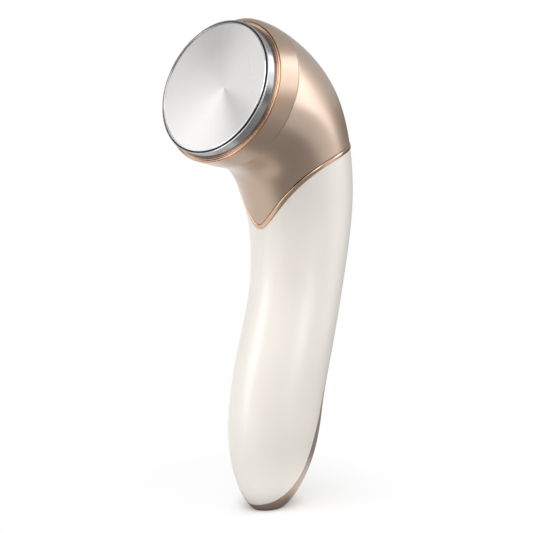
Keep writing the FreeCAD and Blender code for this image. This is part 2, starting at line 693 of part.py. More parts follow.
def make_chassis():
    """Plastic plate with saddles for the battery in front and standoffs for the board behind."""
    depth = (CHASSIS_SETBACK, CHASSIS_BACK)
    chassis = box(centred(0, CHASSIS_WIDTH), depth, (CHASSIS_START, CHASSIS_END))
    hollow = CELL_DIAMETER / 2 + CELL_CLEARANCE
    saddle_half = hollow + SADDLE_WALL
    for place in (CELL_START + SADDLE_INSET, CELL_END - SADDLE_INSET):
        across = (-saddle_half, saddle_half)
        saddle = box(across, (CELL_AXIS, CHASSIS_SETBACK), centred(place, SADDLE_THICKNESS))
        chassis = joined(chassis, saddle)
    chassis = chassis.cut(rod(hollow, (0, CELL_AXIS, CELL_START), (0, CELL_AXIS, CELL_END)))
    for side, place in board_screw_places():
        standoff = rod(STANDOFF_DIAMETER / 2, (side, CHASSIS_SETBACK, place), (side, BOARD_FRONT, place))
        hole = rod(SCREW_RADIUS + THREAD_FIT, (side, 0, place), (side, BOARD_FRONT, place))
        chassis = joined(chassis, standoff).cut(hole)
    loose = SCREW_RADIUS + SCREW_CLEARANCE
    for side, place in POST_PLACES + [(CLIP_MIDDLE, place) for place in CLIP_SCREW_PLACES]:
        chassis = chassis.cut(rod(loose, (side, 0, place), (side, BOARD_FRONT, place)))
    for side, place in cell_lead_places():
        room = LEAD_DIAMETER / 2 + CELL_LEAD_GAP
        slot = box((side - room, side + room), depth, (place - room, place + room + CELL_LEAD_SLOT))
        chassis = chassis.cut(slot)
    return chassis


def make_battery_cell():
    return rod(CELL_DIAMETER / 2, (0, CELL_AXIS, CELL_START), (0, CELL_AXIS, CELL_END))


def make_battery_tabs():
    across = centred(0, TAB_WIDTH)
    deep = centred(CELL_AXIS, TAB_DEPTH)
    low = box(across, deep, (CELL_START - TAB_THICKNESS, CELL_START))
    high = box(across, deep, (CELL_END, CELL_END + TAB_THICKNESS))
    return [low, high]


def cell_lead_places():
    """Where the battery's two wires pass through the chassis."""
    reach = TAB_THICKNESS + LEAD_DIAMETER / 2
    return [(-CELL_LEAD_SIDE, CELL_START - reach), (CELL_LEAD_SIDE, CELL_END + reach)]


def make_battery_leads():
    low, high = cell_lead_places()
    behind = BOARD_FRONT - LEAD_DIAMETER / 2
    turn = (low[0], behind, low[1])
    first = lead([(low[0], CELL_AXIS, low[1]), turn, (low[0], behind, BOARD_START + LEAD_OVERLAP)])
    second = lead([(high[0], CELL_AXIS, high[1]), (high[0], BOARD_FRONT, high[1])])
    return [first, second]


def make_chassis_screws():
    """Four into the posts of the handle shell and two into the motor's clip."""
    screws = [set_screw(SCREW_LENGTH, side, CHASSIS_BACK, place, BACKWARD) for side, place in POST_PLACES]
    for place in CLIP_SCREW_PLACES:
        screws.append(set_screw(SHORT_SCREW_LENGTH, CLIP_MIDDLE, CHASSIS_BACK, place, BACKWARD))
    return screws


def board_screw_places():
    return [(0, BOARD_SCREW_LOW), (BOARD_SCREW_SIDE, BOARD_SCREW_HIGH)]


def make_main_board():
    depth = (BOARD_FRONT, BOARD_BACK)
    board = box(centred(0, BOARD_WIDTH), depth, (BOARD_START, BOARD_START + BOARD_LENGTH))
    for side, place in board_screw_places():
        board = board.cut(rod(SCREW_RADIUS + SCREW_CLEARANCE, (side, 0, place), (side, GRIP_DEPTH, place)))
    return board


def make_board_screws():
    places = board_screw_places()
    return [set_screw(SHORT_SCREW_LENGTH, side, BOARD_BACK, place, BACKWARD) for side, place in places]


def make_board_chips():
    """Controller and a row of small parts beside the power switch."""
    flat = (BOARD_BACK, BOARD_BACK + CHIP_HEIGHT)
    chips = [box(centred(0, CHIP_SIDE), flat, centred(CHIP_PLACE, CHIP_SIDE))]
    for k in range(SPECKS):
        place = SPECK_PLACE + k * SPECK_PITCH
        tall = (BOARD_BACK, BOARD_BACK + SPECK_HEIGHT)
        chips.append(box(centred(-SPECK_SIDE, SPECK_WIDTH), tall, centred(place, SPECK_LENGTH)))
    return chips


def make_boost_coil():
    """Drum core: two flanges with a waist that the winding fills."""
    top = BOARD_BACK + COIL_HEIGHT
    waist = rod(COIL_WAIST / 2, (0, BOARD_BACK, COIL_PLACE), (0, top, COIL_PLACE))
    low = rod(COIL_DIAMETER / 2, (0, BOARD_BACK, COIL_PLACE), (0, BOARD_BACK + COIL_FLANGE, COIL_PLACE))
    high = rod(COIL_DIAMETER / 2, (0, top - COIL_FLANGE, COIL_PLACE), (0, top, COIL_PLACE))
    return joined(waist, low, high)


def make_head_plug():
    tall = (BOARD_BACK, BOARD_BACK + PLUG_HEIGHT)
    return box(centred(0, PLUG_WIDTH), tall, centred(PLUG_PLACE, PLUG_LENGTH))


def make_cover_spring():
    """Bent strip that joins the board to the rear cover."""
    across = centred(0, SPRING_WIDTH)
    low = SPRING_PLACE - SPRING_LENGTH / 2
    high = SPRING_PLACE + SPRING_LENGTH / 2
    tip = back_face(high, SPRING_WIDTH / 2) - SPRING_GAP
    foot = box(across, (BOARD_BACK, BOARD_BACK + SPRING_THICKNESS), (low, high))
    arm = box(across, (BOARD_BACK, tip), (low, low + SPRING_THICKNESS))
    hand = box(across, (tip - SPRING_THICKNESS, tip), (low, high))
    return joined(foot, arm, hand).common(box(across, (BOARD_BACK, tip), (low, high)))


# Buttons, switches and lamps

SWITCH_TOP = BOARD_BACK + SWITCH_HEIGHT
STEM_TOP = SWITCH_TOP + STEM_PROUD
STEM_BOTTOM = SWITCH_TOP - STEM_SUNK


def make_button(diameter, place, proud_skin):
    """Button cap whose top follows the back of the grip, with a lip that keeps it in."""
    lip_radius = diameter / 2 + BUTTON_LIP
    lip_top = back_face(place, lip_radius) - BUTTON_LIP_GAP
    lip_bottom = lip_top - BUTTON_LIP_THICKNESS
    cap = rod(diameter / 2, (0, lip_bottom, place), (0, GRIP_DEPTH, place))
    cap = set_in(GRIP_PLACE, cap).common(proud_skin)
    lip = rod(lip_radius, (0, lip_bottom, place), (0, lip_top, place))
    plunger = rod(PLUNGER_DIAMETER / 2, (0, STEM_TOP, place), (0, lip_top, place))
    return joined(cap, set_in(GRIP_PLACE, lip), set_in(GRIP_PLACE, plunger))


def make_switch_bodies():
    bodies = []
    bore = STEM_DIAMETER / 2 + STEM_CLEARANCE
    bore_end = STEM_BOTTOM - BUTTON_TRAVEL - STEM_FLOOR
    for place in (POWER_PLACE, MODE_PLACE):
        body = box(centred(0, SWITCH_SIDE), (BOARD_BACK, SWITCH_TOP), centred(place, SWITCH_SIDE))
        bodies.append(body.cut(rod(bore, (0, bore_end, place), (0, STEM_TOP, place))))
    return bodies


def make_switch_stem(place):
    return rod(STEM_DIAMETER / 2, (0, STEM_BOTTOM, place), (0, STEM_TOP, place))


def make_status_lamps():
    tall = (BOARD_BACK, BOARD_BACK + LED_HEIGHT)
    return [box(centred(0, LED_LENGTH), tall, centred(place, LED_WIDTH)) for place in LENS_PLACES]


def make_lamp_lenses(skin):
    """Clear pins that carry the light out through the rear cover."""
    start = BOARD_BACK + LED_HEIGHT + LENS_GAP
    pins = [rod(LENS_DIAMETER / 2, (0, start, place), (0, GRIP_DEPTH, place)) for place in LENS_PLACES]
    return [set_in(GRIP_PLACE, pin).common(skin) for pin in pins]


# Massage motor

MOTOR_LEFT = -MOTOR_LENGTH / 2 - MOTOR_SHIFT
MOTOR_RIGHT = MOTOR_LEFT + MOTOR_LENGTH
WEIGHT_LEFT = MOTOR_RIGHT + WEIGHT_GAP
WEIGHT_RIGHT = WEIGHT_LEFT + WEIGHT_LENGTH


def across_motor(radius, left, right):
    return rod(radius, (left, MOTOR_AXIS, MOTOR_PLACE), (right, MOTOR_AXIS, MOTOR_PLACE))


def make_motor_clip():
    bore = MOTOR_DIAMETER / 2 + MOTOR_FIT
    front = MOTOR_AXIS - MOTOR_DIAMETER / 2 - CLIP_WALL
    height = MOTOR_DIAMETER + 2 * CLIP_EAR
    clip = box(centred(CLIP_MIDDLE, CLIP_LENGTH), (front, CHASSIS_SETBACK), centred(MOTOR_PLACE, height))
    clip = clip.cut(across_motor(bore, MOTOR_LEFT - OVERRUN, MOTOR_RIGHT + OVERRUN))
    tip = CHASSIS_BACK - SHORT_SCREW_LENGTH - SCREW_TIP_GAP
    for place in CLIP_SCREW_PLACES:
        mouth = (CLIP_MIDDLE, CHASSIS_SETBACK, place)
        clip = clip.cut(rod(SCREW_RADIUS + THREAD_FIT, (CLIP_MIDDLE, tip, place), mouth))
    return clip


def make_motor_can():
    can = across_motor(MOTOR_DIAMETER / 2, MOTOR_LEFT, MOTOR_RIGHT)
    start = MOTOR_RIGHT - SHAFT_SUNK - SHAFT_CLEARANCE
    return can.cut(across_motor(SHAFT_DIAMETER / 2 + SHAFT_CLEARANCE, start, MOTOR_RIGHT + OVERRUN))


def make_motor_shaft():
    return across_motor(SHAFT_DIAMETER / 2, MOTOR_RIGHT - SHAFT_SUNK, WEIGHT_RIGHT)


def make_motor_weight():
    """Half-round weight on a small hub."""
    half = across_motor(WEIGHT_DIAMETER / 2, WEIGHT_LEFT, WEIGHT_RIGHT)
    low = (MOTOR_PLACE - WEIGHT_DIAMETER, MOTOR_PLACE)
    half = half.common(box((WEIGHT_LEFT, WEIGHT_RIGHT), centred(MOTOR_AXIS, 2 * WEIGHT_DIAMETER), low))
    weight = joined(half, across_motor(HUB_DIAMETER / 2, WEIGHT_LEFT, WEIGHT_RIGHT))
    return weight.cut(across_motor(SHAFT_DIAMETER / 2, MOTOR_LEFT, WEIGHT_RIGHT + OVERRUN))


# Charging contacts and wires


def make_contact_block():
    u = halve(0.0, CROOK, lambda s: along(HEIGHTS, s) < WALL)
    half_width = skin_point(u, 90.0, WALL).x * BLOCK_WIDTH_SHARE
    half_depth = (skin_point(u, 180.0, WALL).y - along(SETBACKS, u)) * BLOCK_DEPTH_SHARE
    block = box((-half_width, half_width), (-half_depth, half_depth), (WALL, WALL + BLOCK_HEIGHT))
    for side in (-1, 1):
        place = side * CONTACT_PITCH / 2
        block = block.cut(rod(CONTACT_DIAMETER / 2 + THREAD_FIT, (place, 0, 0), (place, 0, CONTACT_LENGTH)))
    return block


def make_charge_contacts():
    places = (-CONTACT_PITCH / 2, CONTACT_PITCH / 2)
    return [rod(CONTACT_DIAMETER / 2, (x, 0, CONTACT_RECESS), (x, 0, CONTACT_LENGTH)) for x in places]


def make_charge_leads():
    """From the contacts up behind the chassis to the foot of the board."""
    behind = BOARD_BACK + LEAD_DIAMETER / 2
    wires = []
    for x in (-CONTACT_PITCH / 2, CONTACT_PITCH / 2):
        turn = GRIP_PLACE.multVec(FreeCAD.Vector(x, behind, CHARGE_TURN))
        end = GRIP_PLACE.multVec(FreeCAD.Vector(x, behind, BOARD_START + LEAD_OVERLAP))
        rise = (x, 0, CONTACT_LENGTH + LEAD_START)
        wires.append(lead([(x, 0, CONTACT_LENGTH), rise, turn, end]))
    return wires


def make_head_leads():
    """From the plug up through the neck to the tile behind the plate."""
    depth = BOARD_BACK + PLUG_HEIGHT / 2
    top = PLUG_PLACE + PLUG_LENGTH / 2
    wires = []
    for x in (-LEAD_PITCH / 2, LEAD_PITCH / 2):
        start = GRIP_PLACE.multVec(FreeCAD.Vector(x, depth, top))
        rise = GRIP_PLACE.multVec(FreeCAD.Vector(x, depth, top + LEAD_RISE))
        turn = HEAD_PLACE.multVec(FreeCAD.Vector(x, -LEAD_DROP, -LEAD_TURN))
        end = HEAD_PLACE.multVec(FreeCAD.Vector(x, -LEAD_DROP, -LEAD_END))
        wires.append(lead([start, rise, turn, end]))
    return wires


# Assembly

os.makedirs("parts", exist_ok=True)


def keep(name, shape, place=None):
    """Write one piece, or several solids of one piece, in the shared frame."""
    if isinstance(shape, list):
        shape = Part.makeCompound(shape)
    if place is not None:
        shape = set_in(place, shape)
    shape.exportStep("parts/" + name + ".step")


outer_skin = body_solid(0.0, 0.0, 0.0)
hollow_skin = body_solid(WALL, WALL, OVERRUN)
post_skin = body_solid(WALL - POST_SINK, WALL, 0.0)
proud_skin = body_solid(-BUTTON_PROUD, 0.0, 0.0)
trim_low = trim_ribbon(-TRIM_WIDTH / 2)
trim_high = trim_ribbon(TRIM_WIDTH / 2)
collar_ring = Part.Circle(-UP * COLLAR_BACK, UP, 2 * COLLAR_RADIUS).toShape()
collar_seam = set_in(HEAD_PLACE, Part.Face(Part.Wire(collar_ring)))
whole_shell = with_holes(with_ribs(with_posts(outer_skin.cut(hollow_skin), post_skin), post_skin))
handle, seam_piece, neck, collar = parted(whole_shell, [trim_low, trim_high, collar_seam])
handle_pieces = parted(handle, [cover_ribbon()])
handle_front, handle_back = sorted(handle_pieces, key=lambda piece: piece.CenterOfMass.y)

keep("face_plate", make_face_plate(), HEAD_PLACE)
keep("plate_seal", make_plate_seal(), HEAD_PLACE)
keep("chrome_bezel", make_chrome_bezel(), HEAD_PLACE)
keep("rose_ring", make_rose_ring(), HEAD_PLACE)
keep("head_collar", make_collar(collar))
keep("plate_carrier", make_plate_carrier(), HEAD_PLACE)
keep("peltier_tile", make_peltier_tile(), HEAD_PLACE)
keep("heat_sink", make_heat_sink(), HEAD_PLACE)
keep("plate_sensor", make_plate_sensor(), HEAD_PLACE)
keep("head_screws", make_head_screws(), HEAD_PLACE)
keep("neck_shell", neck)
keep("trim_band", make_trim_band(trim_low, trim_high))
keep("handle_shell", handle_front)
keep("rear_cover", handle_back)
keep("chassis", make_chassis(), GRIP_PLACE)
keep("chassis_screws", make_chassis_screws(), GRIP_PLACE)
keep("battery_cell", make_battery_cell(), GRIP_PLACE)
keep("battery_tabs", make_battery_tabs(), GRIP_PLACE)
keep("battery_leads", make_battery_leads(), GRIP_PLACE)
keep("main_board", make_main_board(), GRIP_PLACE)
keep("board_screws", make_board_screws(), GRIP_PLACE)
keep("board_chips", make_board_chips(), GRIP_PLACE)
keep("boost_coil", make_boost_coil(), GRIP_PLACE)
keep("head_plug", make_head_plug(), GRIP_PLACE)
keep("cover_spring", make_cover_spring(), GRIP_PLACE)
keep("switch_bodies", make_switch_bodies(), GRIP_PLACE)
keep("power_switch_stem", make_switch_stem(POWER_PLACE), GRIP_PLACE)
keep("mode_switch_stem", make_switch_stem(MODE_PLACE), GRIP_PLACE)
keep("power_button", make_button(POWER_DIAMETER, POWER_PLACE, proud_skin))
keep("mode_button", make_button(MODE_DIAMETER, MODE_PLACE, proud_skin))
keep("status_lamps", make_status_lamps(), GRIP_PLACE)
keep("lamp_lenses", make_lamp_lenses(outer_skin))
keep("motor_clip", make_motor_clip(), GRIP_PLACE)
keep("motor_can", make_motor_can(), GRIP_PLACE)
keep("motor_shaft", make_motor_shaft(), GRIP_PLACE)
keep("motor_weight", make_motor_weight(), GRIP_PLACE)
keep("contact_block", make_contact_block())
keep("charge_contacts", make_charge_contacts())
keep("charge_leads", make_charge_leads())
keep("head_leads", make_head_leads())
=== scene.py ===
import math

import bmesh
import bpy
import numpy as np
from mathutils import Matrix, Vector


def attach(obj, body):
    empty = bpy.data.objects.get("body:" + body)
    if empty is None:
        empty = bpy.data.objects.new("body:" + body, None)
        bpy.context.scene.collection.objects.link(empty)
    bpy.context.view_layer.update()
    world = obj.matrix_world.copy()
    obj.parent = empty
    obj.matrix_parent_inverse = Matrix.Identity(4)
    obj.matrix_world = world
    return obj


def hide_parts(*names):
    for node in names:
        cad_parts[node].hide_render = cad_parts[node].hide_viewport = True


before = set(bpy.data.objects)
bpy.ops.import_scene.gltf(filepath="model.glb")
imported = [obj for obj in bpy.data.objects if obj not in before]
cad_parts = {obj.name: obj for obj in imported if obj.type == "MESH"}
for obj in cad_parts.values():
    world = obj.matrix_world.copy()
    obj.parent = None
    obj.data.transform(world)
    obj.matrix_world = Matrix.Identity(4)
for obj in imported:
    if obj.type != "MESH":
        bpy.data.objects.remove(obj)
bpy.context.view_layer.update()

# Chassis, motor clip, contact block and plate carrier: the frame that the works are screwed to.
# They are injection moulded in black and white glass-filled nylon, with the fine spark-eroded
# grain of the mould on every face. The chassis is screwed to four posts of the handle shell.


def tone(red, green, blue):
    """A colour as a screen shows it, from 0 to 255, as the light that it stands for."""
    shares = [value / 255 for value in (red, green, blue)]
    return tuple(s / 12.92 if s <= 0.04045 else ((s + 0.055) / 1.055) ** 2.4 for s in shares) + (1.0,)


class Thread:
    """A value that runs through a node tree. Sums and products of threads add their Math nodes."""

    def __init__(self, tree, socket=None):
        self.tree = tree
        self.socket = socket

    def node(self, kind, settings={}, sockets={}, output=0):
        """Thread from a new node, with its settings and with values or threads on its sockets."""
        made = self.tree.nodes.new(kind)
        for name, value in settings.items():
            setattr(made, name, value)
        for name, value in sockets.items():
            if isinstance(value, Thread):
                self.tree.links.new(value.socket, made.inputs[name])
            else:
                made.inputs[name].default_value = value
        return Thread(self.tree, made.outputs[output])

    def also(self, output):
        """Thread from another output of the same node."""
        return Thread(self.tree, self.socket.node.outputs[output])

    def maths(self, operation, first, second=0.0):
        return self.node("ShaderNodeMath", {"operation": operation}, {0: first, 1: second})

    def __add__(self, other):
        return self.maths("ADD", self, other)

    __radd__ = __add__

    def __sub__(self, other):
        return self.maths("SUBTRACT", self, other)

    def __rsub__(self, other):
        return self.maths("SUBTRACT", other, self)

    def __mul__(self, other):
        return self.maths("MULTIPLY", self, other)

    __rmul__ = __mul__

    def __truediv__(self, other):
        return self.maths("DIVIDE", self, other)

    def __pow__(self, other):
        return self.maths("POWER", self, other)

    def __rpow__(self, other):
        return self.maths("POWER", other, self)

    def __gt__(self, other):
        return self.maths("GREATER_THAN", self, other)

    def grain(self, per_metre, detail=2.0):
        """Cloudy pattern from 0 to 1 over a place, so many cells to the metre."""
        return self.node("ShaderNodeTexNoise", {}, {"Vector": self, "Scale": per_metre, "Detail": detail})

    def blend(self, first, second):
        """Colour between two, by this share."""
        return self.node("ShaderNodeMix", {"data_type": "RGBA"}, {0: self, 6: first, 7: second}, 2)

    def relief(self, depth):
        """Bumps of this height over the surface, up to a depth in metres."""
        return self.node("ShaderNodeBump", {}, {"Distance": depth, "Height": self})

    def turned(self, centre, turn):
        """This place measured from a centre, in a frame that is turned about three axes."""
        return self.node("ShaderNodeMapping", {"vector_type": "TEXTURE"},
                         {"Vector": self, "Location": centre, "Rotation": turn})

    def stretched(self, x, y, z):
        return self.node("ShaderNodeMapping", {}, {"Vector": self, "Scale": (x, y, z)})


def new_finish(name, **even):
    """A material with its even values on the shader, and the thread of a point's place on the piece."""
    material = bpy.data.materials.new(name)
    material.use_nodes = True
    for socket, value in even.items():
        material.node_tree.nodes["Principled BSDF"].inputs[socket.replace("_", " ")].default_value = value
    return material, Thread(material.node_tree).node("ShaderNodeTexCoord", output="Object")


def feed(place, **varied):
    """Lead what changes over the surface to the shader."""
    shader = place.tree.nodes["Principled BSDF"]
    for socket, thread in varied.items():
        place.tree.links.new(thread.socket, shader.inputs[socket.replace("_", " ")])


def dress(material, *nodes):
    """Give carried-over solids a finish."""
    for node in nodes:
        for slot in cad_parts[node].material_slots:
            slot.material = material


def moulded(name, dark, light, roughness):
    """Moulded plastic: two near colours in soft flow marks, with spark-eroded grain."""
    material, place = new_finish(name, IOR=1.5)
    flow = place.stretched(1, 1, 0.3).grain(160)
    pits = place.grain(4200, 3)
    feed(place, Base_Color=(0.7 * flow + 0.3 * pits).blend(dark, light),
         Roughness=roughness + 0.14 * (pits - 0.5) + 0.06 * (flow - 0.5), Normal=pits.relief(1.2e-5))
    return material


black_nylon = moulded("black_nylon", tone(26, 27, 29), tone(48, 49, 51), 0.55)
white_nylon = moulded("white_nylon", tone(214, 212, 206), tone(234, 232, 227), 0.5)
dress(black_nylon, "chassis", "contact_block")
dress(white_nylon, "motor_clip", "plate_carrier", "head_plug")

# Battery: one round lithium cell in a shrunk blue sleeve, with nickel strips spot-welded to its ends.
# The sleeve wrinkles a little where it is shrunk, and the strips carry rows of weld marks.

cell_sleeve, place = new_finish("cell_sleeve", IOR=1.46, Coat_Weight=0.3, Coat_Roughness=0.2)
wrinkle = place.stretched(1, 1, 0.25).grain(420, 4)
feed(place, Base_Color=wrinkle.blend(tone(38, 74, 128), tone(58, 98, 156)),
     Roughness=0.28 + 0.2 * wrinkle, Normal=wrinkle.relief(6e-5))
dress(cell_sleeve, "battery_cell")


def drawn_metal(name, dark, light, roughness, along):
    """Bare metal with fine lines along one axis, and a little staining."""
    material, place = new_finish(name, Metallic=1.0)
    lines = place.stretched(*[0.04 if axis == along else 1.0 for axis in "xyz"]).grain(5200, 3)
    stain = place.grain(240)
    feed(place, Base_Color=(0.6 * lines + 0.4 * stain).blend(dark, light),
         Roughness=roughness + 0.2 * (lines - 0.5) + 0.1 * stain, Normal=lines.relief(6e-6))
    return material


nickel = drawn_metal("nickel_strip", tone(150, 147, 138), tone(196, 193, 184), 0.3, "x")
dress(nickel, "battery_tabs", "cover_spring")

# Wires: fine stranded leads in smooth PVC, red and black, soldered at both ends.
# The skin keeps the faint ripple of the strands inside it.


def lead_skin(name, dark, light):
    material, place = new_finish(name, IOR=1.52)
    strands = place.grain(2600, 1)
    scuff = place.grain(300, 3)
    feed(place, Base_Color=scuff.blend(dark, light), Roughness=0.34 + 0.16 * scuff, Normal=strands.relief(2e-5))
    return material


red_skin = lead_skin("red_lead_skin", tone(150, 26, 22), tone(186, 42, 34))
black_skin = lead_skin("black_lead_skin", tone(22, 22, 23), tone(44, 44, 46))
dress(red_skin, "battery_leads", "head_leads")
dress(black_skin, "charge_leads")

# Main board: glass-fibre sheet under green solder mask, with copper tracks that show through it as
# paler lines. Chips, lamps, switches, the coil and the plug are soldered to its back.

solder_mask, place = new_finish("solder_mask", IOR=1.52, Coat_Weight=0.4, Coat_Roughness=0.15)
weave = place.grain(1700, 2)
board_face = place.stretched(1, 0, 1).turned((0, 0, 0), (math.radians(90), 0, 0))
tracks = board_face.node("ShaderNodeTexBrick", {"offset": 0.37}, {
    "Vector": board_face, "Scale": 190.0, "Mortar Size": 0.09, "Brick Width": 1.1, "Row Height": 0.34}, "Fac")
feed(place, Base_Color=(0.75 * tracks + 0.25 * weave).blend(tone(16, 74, 44), tone(70, 138, 84)),
     Roughness=0.3 + 0.15 * weave, Normal=tracks.relief(2e-5))
dress(solder_mask, "main_board")

chip_case = moulded("chip_case", tone(30, 30, 33), tone(52, 52, 56), 0.62)
dress(chip_case, "board_chips", "switch_bodies")
stem_nylon = moulded("stem_nylon", tone(222, 220, 214), tone(240, 238, 233), 0.45)
dress(stem_nylon, "power_switch_stem", "mode_switch_stem", "status_lamps")

sintered, place = new_finish("sintered_ferrite")
pores = place.grain(3600, 4)
feed(place, Base_Color=pores.blend(tone(44, 43, 45), tone(84, 82, 82)), Roughness=0.6 + 0.25 * pores,
     Normal=pores.relief(3e-5))
dress(sintered, "boost_coil")

# Motor: a small drawn steel can with a pressed shaft and a sintered off-centre weight.
# The can is bright plated and the weight is dull and heavy.

can_steel = drawn_metal("can_steel", tone(158, 160, 162), tone(206, 207, 208), 0.24, "x")
dress(can_steel, "motor_can", "motor_shaft")
heavy, place = new_finish("heavy_sinter", Metallic=0.9)
pores = place.grain(3000, 4)
feed(place, Base_Color=pores.blend(tone(92, 88, 84), tone(134, 129, 122)), Roughness=0.5 + 0.25 * pores,
     Normal=pores.relief(2.4e-5))
dress(heavy, "motor_weight")

# Screws and charging contacts: cold-headed screws in zinc-plated steel, and turned brass pins with a
# gold flash, set flush in the foot.

zinc = drawn_metal("zinc_plating", tone(168, 170, 174), tone(212, 213, 216), 0.32, "y")
dress(zinc, "chassis_screws", "board_screws", "head_screws")
gold_flash = drawn_metal("gold_flash", tone(196, 150, 74), tone(232, 192, 116), 0.22, "z")
dress(gold_flash, "charge_contacts")

# Warm-and-cool stack: a ceramic tile behind the plate, an extruded heat sink behind the tile, and a
# bead that feels the plate's heat. The tile's faces are fired white and the sink is left bare.

fired, place = new_finish("fired_ceramic", IOR=1.7)
speck = place.grain(2400, 4)
feed(place, Base_Color=speck.blend(tone(226, 223, 214), tone(244, 242, 237)), Roughness=0.42 + 0.2 * speck,
     Normal=speck.relief(1e-5))
dress(fired, "peltier_tile", "plate_sensor")
extruded = drawn_metal("extruded_aluminium", tone(170, 172, 175), tone(208, 210, 212), 0.34, "y")
dress(extruded, "heat_sink")

# Handle shell: the pearl white front of the grip, moulded in one piece and sprayed with a warm pearl
# satin lacquer. Its edge curls back under the foot and up the sides, where the rear cover meets it.

head_height, head_reach, head_tilt = 0.1576, 0.0265, math.radians(25)
head_axis = np.array([0, -math.cos(head_tilt), math.sin(head_tilt)])
head_up = np.array([0, math.sin(head_tilt), math.cos(head_tilt)])
plate_centre = np.array([0, -head_reach, head_height])
collar_front, collar_back, collar_rise, collar_radius, collar_swell = 0.0053, 0.0133, 0.00165, 0.0259, 0.0005
grip_setback, grip_depth, grip_width = 0.0167, 0.038, 0.0304
foot_cap, foot_cut, foot_roundness = 0.0379, 0.0026, 1.89
wall, shell_inset, crease, grip_edge_round = 0.002, 0.00002, 50, 0.00022
mouth = plate_centre - head_axis * collar_front
crook = plate_centre - head_axis * collar_back + head_up * collar_rise


def smooth(values):
    """Smooth curve through evenly numbered values, straight at both ends."""
    values = np.array(values, float)
    grid = np.eye(len(values))
    kinks = np.zeros(len(values))
    for i in range(1, len(values) - 1):
        grid[i, i - 1:i + 2] = 1, 4, 1
        kinks[i] = 6 * (values[i - 1] - 2 * values[i] + values[i + 1])
    bends = np.linalg.solve(grid, kinks)

    def curve(u):
        i = np.clip(np.floor(u).astype(int), 0, len(values) - 2)
        t = u - i
        s = 1 - t
        bow = (s ** 3 - s) * bends[i] + (t ** 3 - t) * bends[i + 1]
        return s * values[i] + t * values[i + 1] + bow / 6

    return curve


heights = smooth([-foot_cut] + [s * head_height for s in (0.1117, 0.2386, 0.3655, 0.5051, 0.6320, 0.7523, 0.8944)]
                 + [crook[2], mouth[2]])
setbacks = smooth([0] + [s * grip_setback for s in (0.133, 0.253, 0.520, 0.862, 1.0, 0.908, 0.299)]
                  + [crook[1], mouth[1]])
depths = smooth([grip_depth / 2] + [s * grip_depth / 2 for s in (1.0, 1.0, 1.017, 0.996, 1.078, 1.177, 1.288)]
                + [collar_radius + collar_swell, collar_radius])
widths = smooth([grip_width / 2] + [s * grip_width / 2 for s in (1.0, 1.0, 1.017, 0.996, 1.05, 1.177, 1.462)]
                + [collar_radius + collar_swell, collar_radius])
tilts = smooth([0, 0, 0, 0, 0, 4, 16, 39.5, 65, 65])


def skin(u, turn, proud=-shell_inset):
    """Points of the outer form at stations and angles from the front, moved out by proud."""
    height, tilt = heights(u), np.radians(tilts(u))
    rise = np.clip((height + foot_cut + proud) / (foot_cap + proud), 0, None)
    fullness = np.sqrt(1 - np.clip(1 - rise, 0, None) ** foot_roundness)
    reach = (depths(u) + proud) * fullness * np.cos(turn)
    side = (widths(u) + proud) * fullness * np.sin(turn)
    return np.stack(np.broadcast_arrays(side, setbacks(u) - reach * np.cos(tilt), height - reach * np.sin(tilt)), -1)


def halved(low, high, is_below):
    """Values between bounds where a test changes over."""
    for _ in range(44):
        middle = (low + high) / 2
        below = is_below(middle)
        low, high = np.where(below, middle, low), np.where(below, high, middle)
    return (low + high) / 2


def station_at(height, turn):
    """Station below the crook where the form, at an angle, passes a height."""
    height, turn = np.broadcast_arrays(np.asarray(height, float), turn)
    return halved(np.zeros(height.shape), np.full(height.shape, 7.0), lambda u: skin(u, turn)[..., 2] < height)


trim_back_height, trim_drop, trim_width = 0.1326, 0.0273, 0.0016
trim_spread, trim_point, trim_power = 53.5, 8.0, 1.55


def trim_station(turn, offset):
    """Station of the line of the trim band at an angle, moved up across the line by the offset."""
    def line_height(angle):
        degrees = np.degrees(np.abs((angle + np.pi) % (2 * np.pi) - np.pi))
        swing = np.hypot(degrees, trim_point) ** trim_power - trim_point ** trim_power
        return trim_back_height - trim_drop * np.exp(-swing / trim_spread ** trim_power)

    half_step = math.radians(2.5)
    ends = [skin(station_at(line_height(turn + s), turn + s), turn + s) for s in (-half_step, half_step)]
    chord = ends[1] - ends[0]
    lean = np.linalg.norm(chord, axis=-1) / np.hypot(chord[..., 0], chord[..., 1])
    return station_at(line_height(turn) + offset * lean, turn)


cover_edge_start = 0.0166
cover_edge_degrees = (45, 75, 93, 105, 113, 123, 134, 143, 148, 150)
cover_edge_shares = (0.0226, 0.0376, 0.0622, 0.1003, 0.1655, 0.2357, 0.341, 0.4815, 0.672, 0.903)
edge_degrees = smooth([-d for d in cover_edge_degrees[::-1]] + [0] + list(cover_edge_degrees))
edge_shares = smooth(list(cover_edge_shares[::-1]) + [cover_edge_start] + list(cover_edge_shares))
edge_front, edge_corner = 10.0, 13.5


def edge_place(k):
    """Angle and station of the rear cover's edge at a number along it."""
    turn = np.radians(edge_degrees(k))
    return turn, station_at(edge_shares(k) * head_height, turn)


def edge_under_trim(k):
    turn, u = edge_place(k)
    return u < trim_station(turn, -trim_width / 2)


edge_top = float(halved(np.array(18.0), np.array(20.0), edge_under_trim))


def panel(name, grid, closed=False, downward=False):
    """Sheet of quads over rows of points, facing out: rows run up unless downward, columns run from front to right."""
    rows, columns = grid.shape[:2]
    spans = columns if closed else columns - 1
    faces = []
    for i in range(rows - 1):
        for j in range(spans):
            k = (j + 1) % columns
            face = (i * columns + j, i * columns + k, (i + 1) * columns + k, (i + 1) * columns + j)
            faces.append(face[::-1] if downward else face)
    mesh = bpy.data.meshes.new(name)
    mesh.from_pydata(grid.reshape(-1, 3).tolist(), [], faces)
    piece = bpy.data.objects.new(name, mesh)
    bpy.context.scene.collection.objects.link(piece)
    return piece


